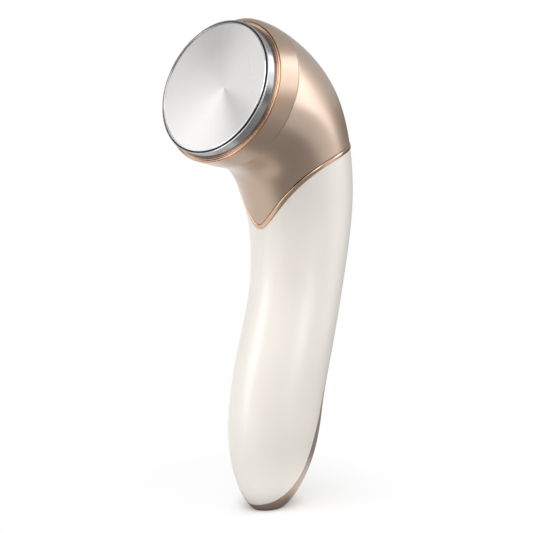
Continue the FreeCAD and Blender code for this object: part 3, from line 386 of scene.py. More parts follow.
def make_plain(piece):
    """Turn a piece and its modifiers into a plain mesh."""
    graph = bpy.context.evaluated_depsgraph_get()
    mesh = bpy.data.meshes.new_from_object(piece.evaluated_get(graph), preserve_all_data_layers=True, depsgraph=graph)
    piece.modifiers.clear()
    piece.data = mesh
    mesh.name = piece.name


def shade_evenly(piece):
    """Smooth shading that leaves broad faces true and keeps sharp creases."""
    for face in piece.data.polygons:
        face.use_smooth = True
    piece.data.set_sharp_from_angle(angle=math.radians(crease))
    piece.modifiers.new("even shading", "WEIGHTED_NORMAL").keep_sharp = True
    make_plain(piece)


def face_out(piece):
    """Turn every face of a closed piece outwards."""
    mesh = bmesh.new()
    mesh.from_mesh(piece.data)
    bmesh.ops.recalc_face_normals(mesh, faces=mesh.faces)
    mesh.to_mesh(piece.data)
    mesh.free()


def give_wall(piece, edge_round):
    """Thickness inwards, with the rim's edges rounded over."""
    shell = piece.modifiers.new("wall", "SOLIDIFY")
    shell.thickness, shell.offset, shell.use_even_offset = wall, -1.0, True
    soft = piece.modifiers.new("rim", "BEVEL")
    soft.width, soft.segments, soft.limit_method, soft.angle_limit = edge_round, 3, "ANGLE", math.radians(crease)
    make_plain(piece)
    shade_evenly(piece)


def join_in(piece, material, slot, body, *nodes):
    """Finish a piece: its material, the solids that it stands for, and the body that it rides on."""
    piece.data.materials.clear()
    piece.data.materials.append(material)
    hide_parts(*nodes)
    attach(piece, body)


across = np.linspace(0, 1, 113)[None, :]
up = np.linspace(0, 1, 181)[:, None]
bottom = np.stack(edge_place(2 * edge_front - edge_corner + across * 2 * (edge_corner - edge_front)), -1)
right = np.stack(edge_place(edge_corner + up * (edge_top - edge_corner)), -1)
left = right * (-1, 1)
top_turn = right[-1, 0, 0] * (2 * across - 1)
top = np.stack((top_turn, trim_station(top_turn, -trim_width / 2)), -1)
across, up = across[..., None], up[..., None]
corners = ((1 - up) * ((1 - across) * left[:1] + across * right[:1])
           + up * ((1 - across) * left[-1:] + across * right[-1:]))
patch = (1 - up) * bottom + up * top + (1 - across) * left + across * right - corners
handle = panel("pearl_handle", skin(patch[..., 1], patch[..., 0]))
give_wall(handle, grip_edge_round)

pearl_lacquer, place = new_finish("pearl_lacquer", IOR=1.5, Coat_Roughness=0.36, Coat_IOR=1.8)
cloud = place.stretched(1, 1, 0.4).grain(45)
flake = place.grain(7000, 2)
peel = place.grain(900, 2)
feed(place, Base_Color=(0.55 * cloud + 0.45 * flake).blend(tone(219, 213, 204), tone(231, 226, 218)),
     Roughness=0.4 + 0.1 * (flake - 0.5) + 0.06 * (cloud - 0.5), Coat_Weight=0.75 + 0.2 * flake,
     Normal=(0.25 * flake + 0.75 * peel).relief(5e-6))
join_in(handle, pearl_lacquer, "pearl_white", "wand", "handle_shell")

# Rear cover: the champagne back of the grip, which narrows to a strip at the sides and cups the foot.
# It is moulded and painted in the neck's metallic satin, with holes for the buttons, lamps and contacts.


def centre_at(height):
    """Point of the grip's bent centre line at a height."""
    u = halved(np.array(0.0), np.array(7.0), lambda u: heights(u) < height)
    return np.array([0, float(setbacks(u)), height])


grip_start = centre_at(0.0276)
grip_run = centre_at(0.0926) - grip_start
grip_lean = math.atan2(grip_run[1], grip_run[2])
grip_back = np.array([0, math.cos(grip_lean), -math.sin(grip_lean)])
grip_along = np.array([0, math.sin(grip_lean), math.cos(grip_lean)])
power_place, power_diameter, mode_place, mode_diameter = 0.072, 0.0105, 0.049, 0.0085
button_proud, button_clearance = 0.0004, 0.0003
lamp_places, lamp_diameter = (0.0571, 0.0605, 0.0639), 0.0018
contact_pitch, contact_diameter, press_fit = 0.0036, 0.0018, 0.00002

# The cover's upper strip runs in level rows from edge to edge, down to where the edge starts to sweep forward.
fan_height = 0.026
inwards = np.linspace(0, 1, 33)
strip = np.linspace(0, 1, 121)[:, None]
top_edge_station = float(edge_place(np.array(edge_top))[1])
fan_station = float(station_at(fan_height, math.pi))
edge_station = top_edge_station + strip * (fan_station - top_edge_station)
edge_number = halved(np.full(strip.shape, edge_corner), np.full(strip.shape, edge_top),
                     lambda k: edge_place(k)[1] < edge_station)
edge_turn = edge_place(edge_number)[0]
strip_turn = np.pi - np.arcsin((1 - inwards[None, :]) * np.sin(np.pi - edge_turn))
strip_top = trim_station(strip_turn, -trim_width / 2)
half_strip = skin(strip_top + strip * (fan_station - strip_top), strip_turn)

# Below that the rows swing round the foot like the segments of a fan, and end on the front edge.
fan = np.linspace(0, 1, 71)[1:, None]
fan_number = edge_number[-1, 0] + fan * (edge_corner - edge_number[-1, 0])
fan_edge = skin(edge_place(fan_number)[1], edge_place(fan_number)[0])
keel_heights = -foot_cut + (fan_height + foot_cut) * np.linspace(1, 0, 400) ** 2
front_height = edge_shares(np.array(edge_front)) * head_height
prow_heights = -foot_cut + (front_height + foot_cut) * np.linspace(0, 1, 200)[1:] ** 2
keel = np.concatenate([skin(station_at(keel_heights, math.pi), math.pi), skin(station_at(prow_heights, 0.0), 0.0)])
run = np.concatenate([[0], np.cumsum(np.linalg.norm(np.diff(keel, axis=0), axis=1))])
keel_at = np.stack([np.interp(fan * run[-1], run, keel[:, axis]) for axis in range(3)], -1)


def half_width(y, z):
    """How far out the grip's form is to the side of a point on its middle plane."""
    u = np.interp(z, table_heights, table_stations)
    rise = np.clip((z + foot_cut) / foot_cap, 0, None)
    fullness = np.sqrt(1 - np.clip(1 - rise, 0, None) ** foot_roundness) + 1e-12
    share = (y - setbacks(u)) / (depths(u) * fullness)
    return widths(u) * fullness * np.sqrt(np.clip(1 - share ** 2, 0, None))


table_stations = np.linspace(0, 4, 4001)
table_heights = heights(table_stations)
reach_in = keel_at - fan_edge * (0, 1, 1)
wanted = fan_edge[..., 0] * (1 - inwards[None, :])


def point_in(share):
    return fan_edge * (0, 1, 1) + share[..., None] * reach_in


share_in = halved(np.zeros(wanted.shape), np.ones(wanted.shape),
                  lambda q: half_width(point_in(q)[..., 1], point_in(q)[..., 2]) > wanted)
share_in[:, -1] = 1.0
share_in[:, 0] = 0.0
fan_points = point_in(share_in)
front_numbers = np.linspace(edge_front, edge_corner, 600)
front_edge = skin(edge_place(front_numbers)[1], edge_place(front_numbers)[0])
last_row = np.stack([np.interp(wanted[-1], front_edge[:, 0], front_edge[:, axis]) for axis in range(3)], -1)
sway = (last_row - fan_points[-1]) * (0, 1, 1)
fan_points = fan_points + (fan ** 3)[..., None] * sway[None]
fan_points[..., 0] = half_width(fan_points[..., 1], fan_points[..., 2])
fan_points[:, -1, 0] = 0.0
fan_points[-1, :, 0] = last_row[:, 0]
fan_points[:, 0, 0] = fan_edge[:, 0, 0]
half_cover = np.concatenate([half_strip, fan_points])
half_cover[:, -1, 0] = 0.0
whole_cover = np.concatenate([half_cover, half_cover[:, -2::-1] * (-1, 1, 1)], axis=1)
whole_cover[..., 2] = np.maximum(whole_cover[..., 2], 0.0)
cover = panel("champagne_cover", whole_cover, downward=True)
give_wall(cover, grip_edge_round)


def drill(piece, holes):
    """Cut round holes of a radius from a start along a direction."""
    cutter_mesh = bmesh.new()
    for radius, start, direction, length in holes:
        turn = Vector(direction).to_track_quat("Z", "Y").to_matrix().to_4x4()
        middle = Vector(start) + Vector(direction) * length / 2
        bmesh.ops.create_cone(cutter_mesh, cap_ends=True, segments=72, radius1=radius, radius2=radius, depth=length,
                              matrix=Matrix.Translation(middle) @ turn)
    mesh = bpy.data.meshes.new("drill")
    cutter_mesh.to_mesh(mesh)
    cutter_mesh.free()
    cutter = bpy.data.objects.new("drill", mesh)
    bpy.context.scene.collection.objects.link(cutter)
    cut = piece.modifiers.new("holes", "BOOLEAN")
    cut.operation, cut.object, cut.solver = "DIFFERENCE", cutter, "EXACT"
    make_plain(piece)
    bpy.data.objects.remove(cutter)
    shade_evenly(piece)


holes = [(lamp_diameter / 2 + press_fit, along) for along in lamp_places]
holes += [(power_diameter / 2 + button_clearance, power_place), (mode_diameter / 2 + button_clearance, mode_place)]
back_holes = [(radius, grip_start + grip_along * along + grip_back * 0.009, grip_back, 0.020)
              for radius, along in holes]
foot_holes = [(contact_diameter / 2 + press_fit, (side * contact_pitch / 2, 0, -0.003), (0, 0, 1), 0.008)
              for side in (-1, 1)]
drill(cover, back_holes + foot_holes)

champagne_satin, place = new_finish("champagne_satin", Coat_Roughness=0.25, Coat_IOR=2.1)
cloud = place.grain(60)
flake = place.grain(8000, 3)
feed(place, Base_Color=(0.35 * cloud + 0.65 * flake).blend(tone(172, 142, 118), tone(198, 170, 146)),
     Metallic=0.9 + 0.1 * flake, Roughness=0.36 + 0.12 * (flake - 0.5) + 0.05 * (cloud - 0.5),
     Coat_Weight=0.8 + 0.2 * cloud, Normal=flake.relief(3e-6))
join_in(cover, champagne_satin, "champagne_satin", "wand", "rear_cover")

# Buttons: two push caps in polished rose gold on the back of the grip, power above and mode below.
# Each follows the curve of the back, dips slightly for the fingertip, and is kept in by a hidden lip.


def back_at(across_x, along_z, proud=0.0):
    """How far back the outer form is in the grip's frame, at a distance to the side and a place along."""
    def place_on(u):
        turn = np.pi - np.arcsin(np.clip(across_x / (widths(u) + proud), -1, 1))
        return skin(u, turn, proud) - grip_start

    u = halved(np.full(across_x.shape, 0.5), np.full(across_x.shape, 6.5), lambda s: place_on(s) @ grip_along < along_z)
    return place_on(u) @ grip_back


def button_cap(name, diameter, along):
    """Cap in rings from the middle of its top, over the rounded rim and lip, to the end of its plunger."""
    radius, lip, lip_drop, lip_deep, rim, dip = diameter / 2, 0.0009, 0.0007, 0.0010, 0.0005, 0.00018
    plunger_radius, plunger_end, columns = 0.002, 0.0134, 72
    lip_top = float(back_at(np.array(radius + lip), np.array(along), -wall)) - lip_drop
    lip_bottom = lip_top - lip_deep
    turns = np.linspace(0, 2 * np.pi, columns, endpoint=False)
    rings = []

    def ring(reach, depth=None, sunk=0.0):
        x, z = reach * np.sin(turns), along + reach * np.cos(turns)
        y = back_at(x, z, button_proud) - sunk if depth is None else np.full(x.shape, depth)
        rings.append(grip_start + np.stack([x, 0 * x, 0 * x], -1) + y[:, None] * grip_back + z[:, None] * grip_along)

    flat = radius - rim
    for share in np.linspace(0.02, 1, 16):
        ring(flat * share, sunk=dip * (1 - share ** 2) ** 2)
    for step in np.linspace(0, math.pi / 2, 7)[1:]:
        ring(flat + rim * math.sin(step), sunk=rim * (1 - math.cos(step)))
    ring(radius, lip_top + 0.0001)
    for reach, depth in ((radius, lip_top), (radius + lip, lip_top), (radius + lip, lip_bottom),
                         (plunger_radius, lip_bottom), (plunger_radius, plunger_end), (0.0001, plunger_end)):
        ring(reach, depth)
    cap = panel(name, np.array(rings), closed=True)
    mesh = bmesh.new()
    mesh.from_mesh(cap.data)
    mesh.verts.ensure_lookup_table()
    mesh.faces.new(mesh.verts[:columns])
    mesh.faces.new(mesh.verts[-columns:])
    mesh.to_mesh(cap.data)
    mesh.free()
    face_out(cap)
    shade_evenly(cap)
    return cap


rose_gold, place = new_finish("rose_gold_plating", Metallic=1.0)
buff = place.stretched(1, 1, 0.2).grain(2600, 3)
smudge = place.grain(160, 3)
feed(place, Base_Color=(0.5 * buff + 0.5 * smudge).blend(tone(203, 168, 140), tone(228, 196, 169)),
     Roughness=0.1 + 0.08 * buff + 0.06 * smudge, Normal=buff.relief(1.2e-6))
power_cap = button_cap("power_cap", power_diameter, power_place)
mode_cap = button_cap("mode_cap", mode_diameter, mode_place)
join_in(power_cap, rose_gold, "rose_gold_plating", "power_key", "power_button")
join_in(mode_cap, rose_gold, "rose_gold_plating", "mode_key", "mode_button")

# Lamp lenses: three clear acrylic pins in a row between the buttons, pressed into the rear cover.
# Their ends are domed a little and frosted, so that each lamp shows as a soft dot.


def new_tree(name, **inputs):
    """Geometry node tree with named inputs, and the thread of each input."""
    tree = bpy.data.node_groups.new(name, "GeometryNodeTree")
    tree.interface.new_socket("Geometry", in_out="INPUT", socket_type="NodeSocketGeometry")
    for label, kind in inputs.items():
        tree.interface.new_socket(label.replace("_", " "), in_out="INPUT", socket_type="NodeSocket" + kind)
    tree.interface.new_socket("Finish", in_out="INPUT", socket_type="NodeSocketMaterial")
    tree.interface.new_socket("Geometry", in_out="OUTPUT", socket_type="NodeSocketGeometry")
    start = tree.nodes.new("NodeGroupInput")
    return tree, {socket.name: Thread(tree, socket) for socket in start.outputs if socket.name}


def close_tree(made, given):
    """End a tree in real geometry with its finish."""
    smoothed = made.node("GeometryNodeSetShadeSmooth", {}, {"Geometry": made})
    real = made.node("GeometryNodeRealizeInstances", {}, {"Geometry": smoothed})
    done = made.node("GeometryNodeSetMaterial", {}, {"Geometry": real, "Material": given["Finish"]})
    made.tree.links.new(done.socket, made.tree.nodes.new("NodeGroupOutput").inputs[0])


def grow(name, tree, points, edges, finish, normals=None, **sizes):
    """Piece that a tree makes from a few points and edges."""
    mesh = bpy.data.meshes.new(name)
    mesh.from_pydata([list(map(float, p)) for p in points], edges, [])
    if normals is not None:
        outward = mesh.attributes.new("outward", "FLOAT_VECTOR", "POINT")
        outward.data.foreach_set("vector", np.asarray(normals, np.float32).ravel())
    piece = bpy.data.objects.new(name, mesh)
    bpy.context.scene.collection.objects.link(piece)
    maker = piece.modifiers.new(tree.name, "NODES")
    maker.node_group = tree
    sizes["Finish"] = finish
    for item in tree.interface.items_tree:
        label = item.name.replace(" ", "_")
        if item.in_out == "INPUT" and label in sizes:
            maker[item.identifier] = sizes[label]
    make_plain(piece)
    face_out(piece)
    shade_evenly(piece)
    return piece


def ring_edges(count):
    return [(k, (k + 1) % count) for k in range(count)]


lens_tree, given = new_tree("lens row", Radius="Float", Length="Float", Dome="Float")
pin_end = given["Length"].node("ShaderNodeCombineXYZ", {}, {"Z": given["Length"]})
pin_line = given["Geometry"].node("GeometryNodeCurvePrimitiveLine", {"mode": "POINTS"},
                                  {"Start": (0.0, 0.0, 0.0), "End": pin_end})
pin_ring = given["Geometry"].node("GeometryNodeCurvePrimitiveCircle", {"mode": "RADIUS"},
                                  {"Resolution": 32, "Radius": given["Radius"]})
pin = pin_line.node("GeometryNodeCurveToMesh", {}, {"Curve": pin_line, "Profile Curve": pin_ring, "Fill Caps": True})
dome = pin.node("GeometryNodeMeshUVSphere", {}, {"Segments": 32, "Rings": 16, "Radius": given["Radius"]})
squash = dome.node("ShaderNodeCombineXYZ", {}, {"X": 1.0, "Y": 1.0, "Z": given["Dome"] / given["Radius"]})
dome = dome.node("GeometryNodeTransform", {}, {"Geometry": dome, "Translation": pin_end, "Scale": squash})
pin = pin.node("GeometryNodeJoinGeometry", {}, {"Geometry": pin})
pin.tree.links.new(dome.socket, pin.socket.node.inputs[0])
lean = pin.node("FunctionNodeAlignRotationToVector", {"axis": "Z"}, {
    "Vector": pin.node("GeometryNodeInputNamedAttribute", {"data_type": "FLOAT_VECTOR"}, {"Name": "outward"})})
pins = pin.node("GeometryNodeInstanceOnPoints", {}, {"Points": given["Geometry"], "Instance": pin, "Rotation": lean})
close_tree(pins, given)

lens_acrylic, place = new_finish("frosted_acrylic", IOR=1.49, Transmission_Weight=0.35)
frost = place.grain(5200, 3)
feed(place, Base_Color=frost.blend(tone(226, 230, 232), tone(246, 247, 247)), Roughness=0.3 + 0.3 * frost,
     Normal=frost.relief(8e-6))
lens_dome, lens_start = 0.00025, 0.0099
lens_ends = [float(back_at(np.array(0.0), np.array(along))) for along in lamp_places]
lens_length = min(lens_ends) - lens_start - lens_dome
lenses = grow("lamp_dots", lens_tree,
              [grip_start + grip_along * along + grip_back * (end - lens_length - lens_dome)
               for along, end in zip(lamp_places, lens_ends)], [], lens_acrylic, [grip_back] * 3,
              Radius=lamp_diameter / 2, Length=lens_length, Dome=lens_dome)
join_in(lenses, lens_acrylic, "clear_lens", "wand", "lamp_lenses")

# Trim band: a slanted bead of polished rose gold between the handle and the neck, low at the front.
# It is die cast and plated, and a hidden sleeve behind it joins the two shells.

band_tree, given = new_tree("bead along a seam", Half_width="Float", Crown="Float", Depth="Float")
outward = given["Geometry"].node("GeometryNodeInputNamedAttribute", {"data_type": "FLOAT_VECTOR"}, {"Name": "outward"})
seam = given["Geometry"].node("GeometryNodeMeshToCurve", {}, {"Mesh": given["Geometry"]})
seam = seam.node("GeometryNodeSetCurveNormal", {"mode": "FREE"}, {"Curve": seam, "Normal": outward})
section = seam.node("GeometryNodeCurvePrimitiveCircle", {"mode": "RADIUS"}, {"Resolution": 48, "Radius": 1.0})
spot = section.node("GeometryNodeInputPosition")
level = spot.node("ShaderNodeSeparateXYZ", {}, {0: spot})
beside = level.also("Y")
bulge = level.maths("SIGN", beside) * level.maths("ABSOLUTE", beside) ** 0.45 * given["Half width"]
height = (level > 0.0) * level * given["Crown"] + (1 - (level > 0.0)) * level.maths("SIGN", level) \
    * level.maths("ABSOLUTE", level) ** 0.3 * given["Depth"]
section = section.node("GeometryNodeSetPosition", {}, {
    "Geometry": section, "Position": level.node("ShaderNodeCombineXYZ", {}, {"X": height, "Y": bulge})})
band = seam.node("GeometryNodeCurveToMesh", {}, {"Curve": seam, "Profile Curve": section})
close_tree(band, given)

seam_turns = np.linspace(0, 2 * np.pi, 360, endpoint=False)
seam_stations = trim_station(seam_turns, 0.0)
seam_points = skin(seam_stations, seam_turns)
up_step = skin(seam_stations + 1e-4, seam_turns) - skin(seam_stations - 1e-4, seam_turns)
round_step = skin(seam_stations, seam_turns + 1e-4) - skin(seam_stations, seam_turns - 1e-4)
seam_normals = np.cross(round_step, up_step)
seam_normals /= np.linalg.norm(seam_normals, axis=1)[:, None]
trim_crown, trim_depth, trim_clearance = 0.00025, 0.0012, 0.00004
trim = grow("rose_trim", band_tree, seam_points, ring_edges(360), rose_gold, seam_normals,
            Half_width=trim_width / 2 - trim_clearance, Crown=trim_crown, Depth=trim_depth)
join_in(trim, rose_gold, "rose_gold_plating", "wand", "trim_band")

# Neck shell and head collar: the bent champagne neck swells from the grip to the round head, and a short
# collar of the same satin paint closes it. The collar runs straight to its mouth except at the top, and
# the two are plugged together and leave only a fine line.

crook_station, mouth_station, seam_gap, head_edge_round = 8.0, 9.0, 0.016, 0.00026
ring_turns = np.linspace(0, 2 * np.pi, 192, endpoint=False)[None, :]
rise = np.linspace(0, 1, 97)[:, None]
neck_foot = trim_station(ring_turns, trim_width / 2)
neck_stations = neck_foot + rise * (crook_station - seam_gap - neck_foot)
neck = panel("champagne_neck", skin(neck_stations, ring_turns), closed=True)
give_wall(neck, head_edge_round)
join_in(neck, champagne_satin, "champagne_satin", "wand", "neck_shell")

rise = np.linspace(0, 1, 13)[:, None]
collar_step, collar_top_spread = 0.00012, 0.9
collar_start = crook_station + seam_gap
swelled = skin(collar_start + rise * (mouth_station - collar_start), ring_turns)
ruled = skin(collar_start, ring_turns, collar_step)
ruled = ruled + rise[..., None] * (swelled[-1:] - ruled)
flat = np.clip(np.abs(ring_turns - np.pi) / collar_top_spread, 0, 1)[..., None]
collar = panel("champagne_collar", swelled + flat ** 2 * (3 - 2 * flat) * (ruled - swelled), closed=True)
give_wall(collar, head_edge_round)
join_in(collar, champagne_satin, "champagne_satin", "wand", "head_collar")

# Rings round the plate: a black silicone seal, a polished chrome bezel and a thin rose gold ring behind it.
# The rings are turned and plated, and stack on the plate's axis in the collar's mouth.

turned_tree, given = new_tree("turned about the plate's axis", Segments="Int", Path_radius="Float", Centre="Vector",
                              Tilt="Rotation")
path = given["Geometry"].node("GeometryNodeCurvePrimitiveCircle", {"mode": "RADIUS"},
                              {"Resolution": given["Segments"], "Radius": given["Path radius"]})
path = path.node("GeometryNodeSetCurveNormal", {"mode": "Z_UP"}, {"Curve": path})
outline = path.node("GeometryNodeMeshToCurve", {}, {"Mesh": given["Geometry"]})
swept = path.node("GeometryNodeCurveToMesh", {}, {"Curve": path, "Profile Curve": outline})
swept = swept.node("GeometryNodeMergeByDistance", {}, {"Geometry": swept, "Distance": 1e-6})
swept = swept.node("GeometryNodeTransform", {}, {"Geometry": swept, "Translation": given["Centre"],
                                                 "Rotation": given["Tilt"]})
close_tree(swept, given)
path_radius, rounding_points, turning_segments = 0.02, 9, 224


def turned_piece(name, corners, finish, open_ends=False):
    """Piece turned from a section of corners, each a radius, a place back from the plate's face and a rounding."""
    points = []
    for k, (radius, back, rounding) in enumerate(corners):
        here = np.array([radius, -back])
        end = open_ends and k in (0, len(corners) - 1)
        if rounding == 0 or end:
            points.append(here)
            continue
        before = np.array(corners[k - 1][:2]) * (1, -1) - here
        after = np.array(corners[(k + 1) % len(corners)][:2]) * (1, -1) - here
        before, after = before / np.linalg.norm(before), after / np.linalg.norm(after)
        middle = (before + after) / np.linalg.norm(before + after)
        half = math.acos(float(np.dot(before, middle)))
        hub = here + middle * rounding / math.sin(half)
        for share in np.linspace(-1, 1, rounding_points):
            swing = share * (math.pi / 2 - half)
            turn = np.array([[math.cos(swing), -math.sin(swing)], [math.sin(swing), math.cos(swing)]])
            side = np.cross(before, after)
            points.append(hub - (turn if side > 0 else turn.T) @ middle * rounding)
    edges = ring_edges(len(points))
    edges = edges[:-1] if open_ends else edges
    return grow(name, turned_tree, [(r - path_radius, -z, 0) for r, z in points], edges, finish,
                Segments=turning_segments, Path_radius=path_radius, Centre=list(plate_centre),
                Tilt=(math.pi / 2 - head_tilt, 0.0, 0.0))


silicone, place = new_finish("black_silicone", IOR=1.42)
bloom = place.grain(900, 3)
feed(place, Base_Color=bloom.blend(tone(14, 14, 15), tone(34, 34, 36)), Roughness=0.5 + 0.3 * bloom,
     Normal=bloom.relief(8e-6))
seal = turned_piece("seal_ring", [(0.02335, 0.0004, 0.0001), (0.02375, 0.0004, 0.0001), (0.02375, 0.0013, 0.0),
                                  (0.0231, 0.0013, 0.0), (0.0231, 0.0033, 0.0001), (0.0227, 0.0033, 0.0001),
                                  (0.0227, 0.0010, 0.0), (0.02335, 0.0010, 0.0)], silicone)
join_in(seal, silicone, "black_silicone", "wand", "plate_seal")

chrome, place = new_finish("bright_chrome", Metallic=1.0)
haze = place.grain(220, 3)
polish = place.grain(5200, 2)
feed(place, Base_Color=haze.blend(tone(160, 161, 163), tone(192, 193, 195)),
     Roughness=0.17 + 0.05 * haze + 0.03 * polish, Normal=polish.relief(4e-7))
bezel = turned_piece("chrome_ring", [(0.02375, 0.00055, 0.0001), (0.0243, 0.00055, 0.0003), (0.0245, 0.0047, 0.0001),
                                     (0.02385, 0.0047, 0.0001), (0.02385, 0.0077, 0.0001), (0.0231, 0.0077, 0.0001),
                                     (0.0231, 0.0013, 0.0), (0.02375, 0.0013, 0.0)], chrome)
join_in(bezel, chrome, "chrome_plating", "wand", "chrome_bezel")

rose = turned_piece("rose_gold_ring", [(0.02455, 0.0045, 0.00015), (0.0250, 0.0045, 0.00015), (0.0250, 0.0050, 0.0),
                                       (0.0253, 0.0050, 0.0), (0.0253, 0.0045, 0.00015), (0.0256, 0.0045, 0.0002),
                                       (0.0256, 0.0053, 0.0001), (0.0239, 0.0053, 0.0001), (0.0239, 0.0047, 0.0001),
                                       (0.02455, 0.0047, 0.0)], rose_gold)
join_in(rose, rose_gold, "rose_gold_plating", "wand", "rose_ring")

# Face plate: the round plate that touches the skin, drawn from stainless steel into a shallow cup.
# Its face is spun on a lathe, which leaves fine rings; a fan of bright and dark wedges is painted into its colour as a
# painted reflection. The rim is polished.

spun_steel, place = new_finish("spun_steel", Metallic=1.0)
spot = place.turned(tuple(plate_centre), (math.pi / 2 - head_tilt, 0.0, 0.0))
right_of = spot.node("ShaderNodeSeparateXYZ", {}, {0: spot})
above = right_of.also("Y")
reach = (right_of * right_of + above * above + 1e-9) ** 0.5
fan_offset, fan_full_reach, rim_start = 0.0052, 0.018, 0.0230
beside = right_of - fan_offset
fan_reach = (beside * beside + above * above + 1e-9) ** 0.5


def painted_wedge(degrees, spread):
    """Share of the painted sheen, a painted reflection, that falls round one direction on the plate."""
    turn, sharpness = math.radians(degrees), 1 / math.radians(spread) ** 2
    lined_up = (math.cos(turn) * beside + math.sin(turn) * above) / fan_reach
    return math.e ** (sharpness * (lined_up - 1))


rings = reach.node("ShaderNodeTexNoise", {"noise_dimensions": "1D"}, {"W": reach, "Scale": 5200.0, "Detail": 3.0})
# Radial streaks painted into the plate's colour, part of its painted reflection.
painted_streaks = spot.node("ShaderNodeTexNoise", {"noise_dimensions": "1D"}, {
    "W": reach.maths("ARCTAN2", above, right_of), "Scale": 16.0, "Detail": 4.0})
dimmed = fan_reach.maths("MINIMUM", fan_reach / fan_full_reach, 1.0)
# Painted reflection: bright and dark wedges round an off-centre apex, painted into the plate's colour.
painted_sheen = 0.52 + 0.46 * painted_wedge(246, 34) - 0.5 * dimmed * painted_wedge(124, 26) - 0.42 * painted_wedge(321, 17) \
    + 0.07 * (rings - 0.5) + 0.1 * (painted_streaks - 0.5)
rim = reach > rim_start
feed(place, Base_Color=painted_sheen.blend(tone(178, 177, 176), tone(231, 230, 229)),
     Roughness=(1 - rim) * (0.3 + 0.12 * (rings - 0.5)) + 0.07 * rim, Normal=rings.relief(1.5e-6))
plate = turned_piece("steel_face", [(0.0, 0.0, 0.0), (0.02335, 0.0, 0.00035), (0.02335, 0.0010, 0.0001),
                                    (0.0227, 0.0010, 0.0), (0.0227, 0.0033, 0.0001), (0.0217, 0.0033, 0.0001),
                                    (0.0217, 0.0010, 0.0002), (0.0, 0.0010, 0.0)],
                     spun_steel, open_ends=True)
join_in(plate, spun_steel, "steel_plate", "wand", "face_plate")

# Studio: a plain white floor that runs on behind the wand and keeps its shadow, soft lamps round it, and the
# photograph's camera. Metal mirrors a floor whose colour is painted bright ahead and grey at the sides: painted light
# and painted shade, with no flags built.

scene = bpy.context.scene
scene.view_settings.view_transform = "Standard"
# The darkest grey is painted shade on the floor, seen only by metal, in place of flags.
plain_white, paper_grey, painted_shade_grey = (1.0, 1.0, 1.0, 1.0), (0.85, 0.85, 0.85, 1.0), (0.26, 0.26, 0.26, 1.0)
room_strength, room_in_metal = 0.42, 0.2

half_floor, below = 6.0, -0.0001
floor_mesh = bpy.data.meshes.new("floor")
floor_mesh.from_pydata([(x, y, below) for x, y in ((-half_floor, -half_floor), (half_floor, -half_floor),
                                                   (half_floor, half_floor), (-half_floor, half_floor))],
                       [], [(0, 1, 2, 3)])
floor = bpy.data.objects.new("floor", floor_mesh)
scene.collection.objects.link(floor)
paper, place = new_finish("white_paper", Roughness=0.9, Specular_IOR_Level=0.1)


def towards(direction):
    """How far a place is from the wand in a direction."""
    return place.node("ShaderNodeVectorMath", {"operation": "DOT_PRODUCT"}, {0: place, 1: direction}, "Value")


def eased(value, start, end):
    """Share from 0 to 1 that rises smoothly between two values."""
    return value.node("ShaderNodeMapRange", {"interpolation_type": "SMOOTHSTEP"}, {"Value": value, 1: start, 2: end})


def most(first, second):
    return first.maths("MAXIMUM", first, second)


away = place.node("ShaderNodeVectorMath", {"operation": "LENGTH"}, {0: place}, "Value")
ahead, behind = towards((-0.82, -0.57, 0.0)), towards((0.56, 0.83, 0.0))
seen = place.node("ShaderNodeLightPath", output="Is Camera Ray")
mirrored = most(seen.also("Is Glossy Ray"), seen.also("Is Transmission Ray"))

# The shadow is full under the foot and fades to plain white further out, soonest ahead of the wand.
unshaded = 0.45 * eased(away, 0.009, 0.018) + 0.55 * eased(away, 0.016, 0.075)
unshaded = most(unshaded, 0.9 * eased(ahead, 0.004, 0.015))

# Painted light for metal: the floor's colour is painted bright ahead, in a ring round the foot and in a narrow strip
# far behind, and painted grey under the foot and elsewhere.
clear_of_foot = eased(away, 0.008, 0.019)
bright = most(eased(ahead, -0.02, 0.08) * clear_of_foot, clear_of_foot * (1 - eased(away, 0.025, 0.055)))
bright = most(bright, eased(behind / away, 0.97, 0.993) * eased(away, 0.18, 0.26))
bright = most(bright, seen)
feed(place, Base_Color=bright.blend(painted_shade_grey, paper_grey))
glow = place.node("ShaderNodeEmission", {}, {"Color": plain_white, "Strength": 1.0})
lit = Thread(place.tree, place.tree.nodes["Principled BSDF"].outputs[0])
# Where the floor is painted bright, metal also sees it glow white: a painted reflection.
shows = most(seen, mirrored * bright * eased(away, 0.015, 0.06))
sheet = place.node("ShaderNodeMixShader", {}, {0: unshaded * shows, 1: lit, 2: glow})
place.tree.links.new(sheet.socket, place.tree.nodes["Material Output"].inputs[0])
floor_mesh.materials.append(paper)

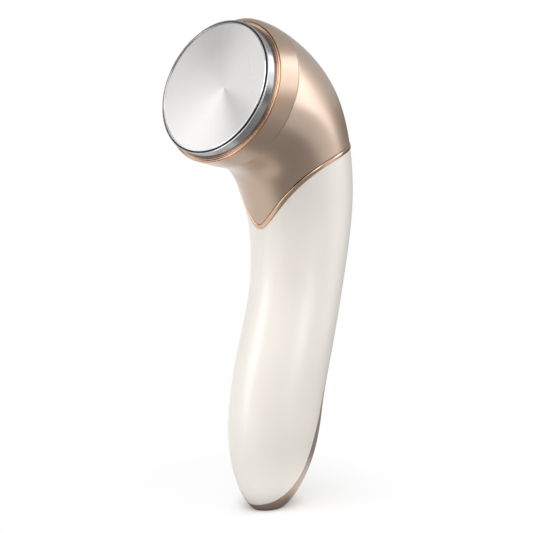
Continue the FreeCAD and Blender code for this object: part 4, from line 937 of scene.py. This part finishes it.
world = bpy.data.worlds.new("studio")
world.use_nodes = True
room = Thread(world.node_tree, world.node_tree.nodes["Background"].outputs[0])
room.socket.node.inputs["Color"].default_value = plain_white
room.socket.node.inputs["Strength"].default_value = room_strength
backdrop = room.node("ShaderNodeBackground", {}, {"Color": plain_white, "Strength": 1.0})
seen = room.node("ShaderNodeLightPath", output="Is Camera Ray")
shows = most(seen, seen.also("Is Transmission Ray")) + room_in_metal * seen.also("Is Glossy Ray")
sky = room.node("ShaderNodeMixShader", {}, {0: shows, 1: room, 2: backdrop})
world.node_tree.links.new(sky.socket, world.node_tree.nodes["World Output"].inputs[0])
scene.world = world


def stand(name, data, azimuth, elevation, distance, middle, aim):
    """Set a lamp or the camera at a distance round a middle, from the front to the right and up, looking at an aim."""
    thing = bpy.data.objects.new(name, data)
    a, e = math.radians(azimuth), math.radians(elevation)
    direction = Vector((math.sin(a) * math.cos(e), -math.cos(a) * math.cos(e), math.sin(e)))
    thing.location = Vector(middle) + distance * direction
    thing.rotation_euler = (Vector(aim) - thing.location).to_track_quat("-Z", "Y").to_euler()
    scene.collection.objects.link(thing)
    return thing


lamp_middle = (0, 0, 0.09)
for name, azimuth, elevation, distance, width, height, power in (
        ("fill", 42, 48, 1.0, 1.0, 0.7, 5.0), ("front", -16, 14, 0.5, 0.16, 0.4, 0.75),
        ("panel", -42, 22, 1.0, 0.7, 0.8, 1.2), ("side", 97, 12, 0.5, 0.16, 0.38, 0.7),
        ("high", 130, 24, 1.0, 0.6, 0.5, 1.1), ("rim", 155, 18, 0.5, 0.16, 0.48, 0.65),
        ("top", 80, 64, 1.0, 0.9, 0.8, 2.2)):
    softbox = bpy.data.lights.new(name, "AREA")
    softbox.shape, softbox.size, softbox.size_y, softbox.energy = "RECTANGLE", width, height, power
    stand(name, softbox, azimuth, elevation, distance, lamp_middle, lamp_middle)

camera_data = bpy.data.cameras.new("camera")
camera_data.sensor_width, camera_data.lens = 36.0, 131.4
scene.camera = stand("camera", camera_data, 45, 13, 0.7, (0, 0.0013, 0.0856), (-0.0017, 0.00095, 0.0898))
